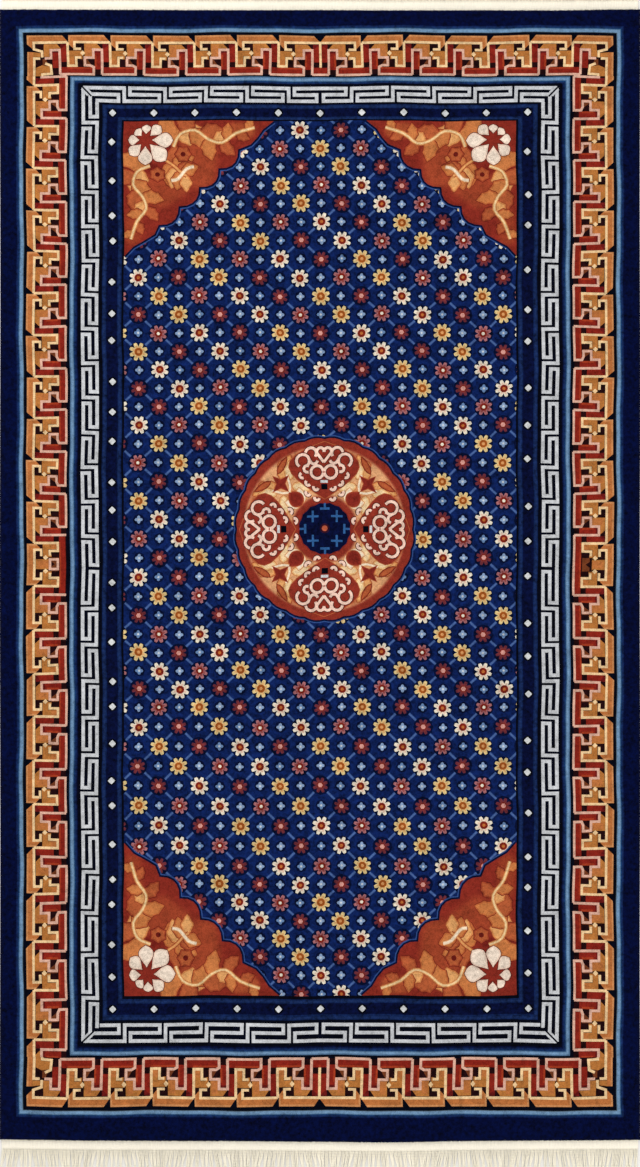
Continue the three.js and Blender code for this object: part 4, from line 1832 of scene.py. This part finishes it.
def wrap_tree():
    tree, start, end = node_tree("selvedge_wraps", ["Pitch", "Cord radius", "Wrap radius"])
    sizes = start.outputs
    cord = swept(tree, sizes["Geometry"], circle(tree, CORD_SIDES, sizes["Cord radius"]), True)
    points = points_along(tree, sizes["Geometry"], sizes["Pitch"])
    turn = circle(tree, WRAP_SIDES, sizes["Cord radius"])
    ring = swept(tree, turn, circle(tree, YARN_SIDES, sizes["Wrap radius"]), False)
    both = tree.nodes.new("GeometryNodeJoinGeometry")
    for part in (cord, copies(tree, points["Points"], ring, points["Tangent"])):
        tree.links.new(part, both.inputs[0])
    finish_tree(tree, start, end, both.outputs[0])
    return tree


cords = curve_object("selvedges", [selvedge_line(side) for side in SIDES.values()], False)
selvedges = grow("selvedges", cords, wrap_tree(), Pitch=WRAP_PITCH * MM, Cord_radius=CORD_RADIUS * MM,
                 Wrap_radius=WRAP_RADIUS * MM, Material=navy_wool)

# %% [markdown]
# Past the last row of knots the weaver weaves a narrow plain apron, so that the knots can't slip off. A
# bump could fake it, but at the edge of the rug the weave is seen from the side too. So it is a real
# plain weave: each weft row crowns over one pair of warps and dips under the next.

# %% Weave the aprons
APRON_WIDTH = 18
APRON_GAP = 0.3
APRON_SET_IN = 5
LOCKS = 148
YARNS_PER_LOCK = 3
LOCK_PITCH = (PILE_WIDTH - 2 * APRON_SET_IN) / LOCKS
WARP_PITCH = LOCK_PITCH / YARNS_PER_LOCK
WEFT_PITCH = 1.8
WEFT_CROWN = 1.0
WARP_LEVEL = 1.65
STEPS_PER_WARP = 2
STEPS_PER_WEFT = 3
CROWN_SHARPNESS = 0.7
LEAST_CROWN = 0.25
END_REACH = 20
ROUNDING = 1e-6


def edge_line(end):
    """Where the pile ends, as a function of the place across, at the head (1) or the foot (-1)."""
    line = sorted((x, y) for x, y in rug_ring if y * end > pile_length / 2 - END_REACH)
    xs, ys = np.array(line).T
    return lambda x: np.interp(x, xs, ys)


def apron_mesh(name, end):
    edge = edge_line(end)
    columns = LOCKS * YARNS_PER_LOCK * STEPS_PER_WARP + 1
    rows = round(APRON_WIDTH / WEFT_PITCH) * STEPS_PER_WEFT + 1
    across = np.linspace(-LOCKS * LOCK_PITCH / 2, LOCKS * LOCK_PITCH / 2, columns)
    out = np.linspace(0, APRON_WIDTH, rows)
    x, depth = np.meshgrid(across, out)
    weft = np.floor(depth / WEFT_PITCH + ROUNDING)
    crown = np.abs(np.sin(math.pi * depth / WEFT_PITCH)) ** CROWN_SHARPNESS
    over = 0.5 + 0.5 * np.cos(math.pi * (x / WARP_PITCH + weft))
    z = WARP_LEVEL + WEFT_CROWN * crown * (LEAST_CROWN + (1 - LEAST_CROWN) * over)
    y = edge(x) + end * (APRON_GAP + depth)
    top = np.stack([x, y, z], axis=-1).reshape(-1, 3)
    lines = [edge(across) + end * (APRON_GAP + out_by) for out_by in (0, APRON_WIDTH)]
    under = np.vstack([np.column_stack([across, line, 0 * across]) for line in lines])
    points = np.vstack([top, under])
    count = rows * columns
    grid = np.arange(count).reshape(rows, columns)
    inner, outer = count + np.arange(columns), count + columns + np.arange(columns)
    faces = []
    for upper, lower in zip(grid, grid[1:]):
        faces += list(zip(upper[:-1], upper[1:], lower[1:], lower[:-1]))
    faces += list(zip(inner[:-1], inner[1:], grid[0, 1:], grid[0, :-1]))
    faces += list(zip(grid[-1, :-1], grid[-1, 1:], outer[1:], outer[:-1]))
    faces += list(zip(outer[:-1], outer[1:], inner[1:], inner[:-1]))
    faces.append((inner[0], *grid[:, 0], outer[0]))
    faces.append((outer[-1], *grid[::-1, -1], inner[-1]))
    if end > 0:
        faces = [face[::-1] for face in faces]
    mesh = bpy.data.meshes.new(name)
    mesh.from_pydata((points * MM).tolist(), [], [[int(v) for v in face] for face in faces])
    print(name, "faces:", len(faces))
    return mesh


aprons = {name: apron_mesh("apron_" + name, end) for name, end in ENDS.items()}

# %% [markdown]
# Cotton is smooth beside wool: no knots, only streaks along each yarn, fine fibres and a faint stain. It is
# left undyed, so it is a warm white. It needs its own group, because its streaks run with the warp.

# %% Make the cotton grain
STREAK_SCALE = 520
STREAK_STRETCH = (1, 0.12, 1)
COTTON_FIBRE_SCALE = 2600
COTTON_FIBRE_STRETCH = (1, 0.25, 1)
STAIN_SCALE = 14
COTTON_ROUGHNESS = {"least": 0.8, "spread": 0.15}
COTTON = (253, 247, 232)


def cotton_grain_group():
    inputs = [("Vector", "NodeSocketVector", None), ("Dye", "NodeSocketColor", (0.5, 0.5, 0.5, 1)),
              ("Streaks", NUMBER, 0.3), ("Stain", NUMBER, 0.2)]
    outputs = [("Color", "NodeSocketColor"), ("Roughness", NUMBER), ("Height", NUMBER)]
    group, start, end = shader_group("cotton_grain", inputs, outputs)
    place = start.outputs["Vector"]
    streaks = noise(group, stretched(group, place, STREAK_STRETCH), STREAK_SCALE, 3)
    fibres = noise(group, stretched(group, place, COTTON_FIBRE_STRETCH), COTTON_FIBRE_SCALE, 2)
    stain = noise(group, place, STAIN_SCALE, 3)
    shade = 1.0
    for fac, amount in ((streaks, "Streaks"), (fibres, "Streaks"), (stain, "Stain")):
        centred = maths(group, "SUBTRACT", fac, 0.5)
        shade = maths(group, "ADD", maths(group, "MULTIPLY", centred, start.outputs[amount]), shade)
    colour_and_roughness(group, start, end, shade, fibres, COTTON_ROUGHNESS)
    group.links.new(fibres, end.inputs["Height"])
    return group


cotton_grain = cotton_grain_group()
cotton = textile("undyed_cotton", cotton_grain, dye=COTTON, sheen=0.1, relief=0.15, Streaks=0.3, Stain=0.12)
aprons = {name: show(mesh, cotton) for name, mesh in aprons.items()}
print("materials:", cotton.name)

# %% [markdown]
# The fringe is the warp itself. Each lock of the solid stands for three plied warp ends, so three yarns
# leave the apron beside each other, draw together and stray a little. Two strands wound on each other
# would need twice the faces. So Curve to Mesh sweeps one oval along each yarn, and a tilt that grows along
# it twists the oval, which looks like two plies.

# %% Ply the fringe
END_BOW = 2
LOCK_REACH = 66
LOCK_RAGGEDNESS = 11
LOCK_RAGGED_PACE = 2.4
LOCK_LEAN = 5
LOCK_LEAN_PACE = 0.31
LOCK_STRAY = 1.3
LOCK_STRAY_PACE = 2.1
YARN_RADIUS = 1.42
YARN_FLATNESS = 0.66
YARN_TWIST = 620
YARN_STEPS = 15
YARN_SECTION = 7
YARN_SEED = 11
YARN_COTTON = (255, 248, 229)
YARN_ROOT = 2
YARN_SPANS = 6
YARN_SHORTFALL = 7
YARN_STRAY = 1.6
YARN_DRAW = 0.6
YARN_RIPPLE = {"by": 0.5, "pace": 5}
YARN_LEVELS = {"middle": 0.9, "beside": 0.1, "root": 1.3, "tip": 1.1}
LEVEL_RANGE = (0.2, 1)
LEAST_LIFT = 0.02


def yarn_line(x, end, start_y, tip_y, sideways, height, wave):
    """One yarn from inside the apron to its tip. Sideways turns a share of the way into a shift."""
    line = []
    for step in range(YARN_SPANS + 1):
        t = step / YARN_SPANS
        ripple = YARN_RIPPLE["by"] * t * math.sin(wave + YARN_RIPPLE["pace"] * t)
        z = height + (YARN_LEVELS["tip"] - height) * t * t if t > 0 else YARN_LEVELS["root"]
        y = start_y + (tip_y - start_y) * t
        line.append((x + sideways(t) + ripple, end * y, max(z, YARN_RADIUS + LEAST_LIFT)))
    return line


def yarn_lines(end):
    """Three lines for each lock of the solid, from inside the apron to the tip."""
    edge = edge_line(end)
    chance = random.Random(YARN_SEED + end)
    lines = []
    for number in range(LOCKS):
        x = end * (number - LOCKS / 2 + 0.5) * LOCK_PITCH
        swing = LOCK_LEAN * math.sin(number * LOCK_LEAN_PACE)
        swing += LOCK_STRAY * math.sin(number * LOCK_STRAY_PACE)
        ragged = LOCK_RAGGEDNESS * abs(math.sin(number * LOCK_RAGGED_PACE))
        tip = pile_length / 2 - END_BOW + LOCK_REACH - ragged
        start_y = abs(edge(x)) + APRON_GAP + APRON_WIDTH - YARN_ROOT
        for yarn in range(YARNS_PER_LOCK):
            beside = (yarn - 1) * WARP_PITCH
            short = chance.uniform(0, YARN_SHORTFALL)
            stray = chance.uniform(-YARN_STRAY, YARN_STRAY)
            wave = chance.uniform(0, 2 * math.pi)
            level = YARN_LEVELS["middle" if yarn == 1 else "beside"]
            height = YARN_RADIUS + level * chance.uniform(*LEVEL_RANGE)

            def sideways(t):
                smooth = t * t * (3 - 2 * t)
                return beside * (1 - YARN_DRAW * smooth) + end * swing * smooth + stray * t * t

            lines.append(yarn_line(x, end, start_y, tip - short, sideways, height, wave))
    return lines


def yarn_tree():
    tree, start, end = node_tree("plied_yarns", ["Radius", "Flatness", "Twist", "Steps"])
    sizes = start.outputs
    sources = {"Curve": sizes["Geometry"], "Count": sizes["Steps"]}
    path = fed_node(tree, "GeometryNodeResampleCurve", sources, mode="COUNT")[0]
    along = tree.nodes.new("GeometryNodeSplineParameter").outputs["Length"]
    tilt = maths(tree, "MULTIPLY", along, sizes["Twist"])
    twisted = fed_node(tree, "GeometryNodeSetCurveTilt", {"Curve": path, "Tilt": tilt})[0]
    oval = fed_node(tree, "ShaderNodeCombineXYZ", {"X": 1, "Y": sizes["Flatness"], "Z": 1})[0]
    section = circle(tree, YARN_SECTION, sizes["Radius"])
    squeezed = fed_node(tree, "GeometryNodeTransform", {"Geometry": section, "Scale": oval})[0]
    finish_tree(tree, start, end, swept(tree, twisted, squeezed, True))
    return tree


yarn_cotton = textile("plied_cotton", cotton_grain, dye=YARN_COTTON, sheen=0.1, relief=0.15, Streaks=0.15,
                      Stain=0.15)
plying = yarn_tree()
fringes = {}
for name, end in ENDS.items():
    path = curve_object("fringe_yarns_" + name, yarn_lines(end), False)
    piece = grow("fringe_yarns_" + name, path, plying, Radius=YARN_RADIUS * MM, Flatness=YARN_FLATNESS,
                 Twist=float(YARN_TWIST), Steps=float(YARN_STEPS), Material=yarn_cotton)
    fringes[name] = piece

# %% [markdown]
# Everything so far is the rug's cloth. A rug has one body and no joint, so each piece rides on that body,
# and the solid that it stands for is hidden. Only the foundation is one closed sheet from edge to edge,
# and all others lie on it or hang from it.

# %% Join the pieces to the frame
wool_pieces = [foundation, field_piece, medallion_piece, guard_piece, border_piece, edge_piece]
wool_pieces += [tufts, selvedges] + [spandrel["piece"] for spandrel in SPANDRELS]
for piece in wool_pieces:
    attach(piece, "root")
    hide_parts("rug_pile")
for end_name in ("head", "foot"):
    for piece in (aprons[end_name], fringes[end_name]):
        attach(piece, "root")
        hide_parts("fringe_" + end_name)
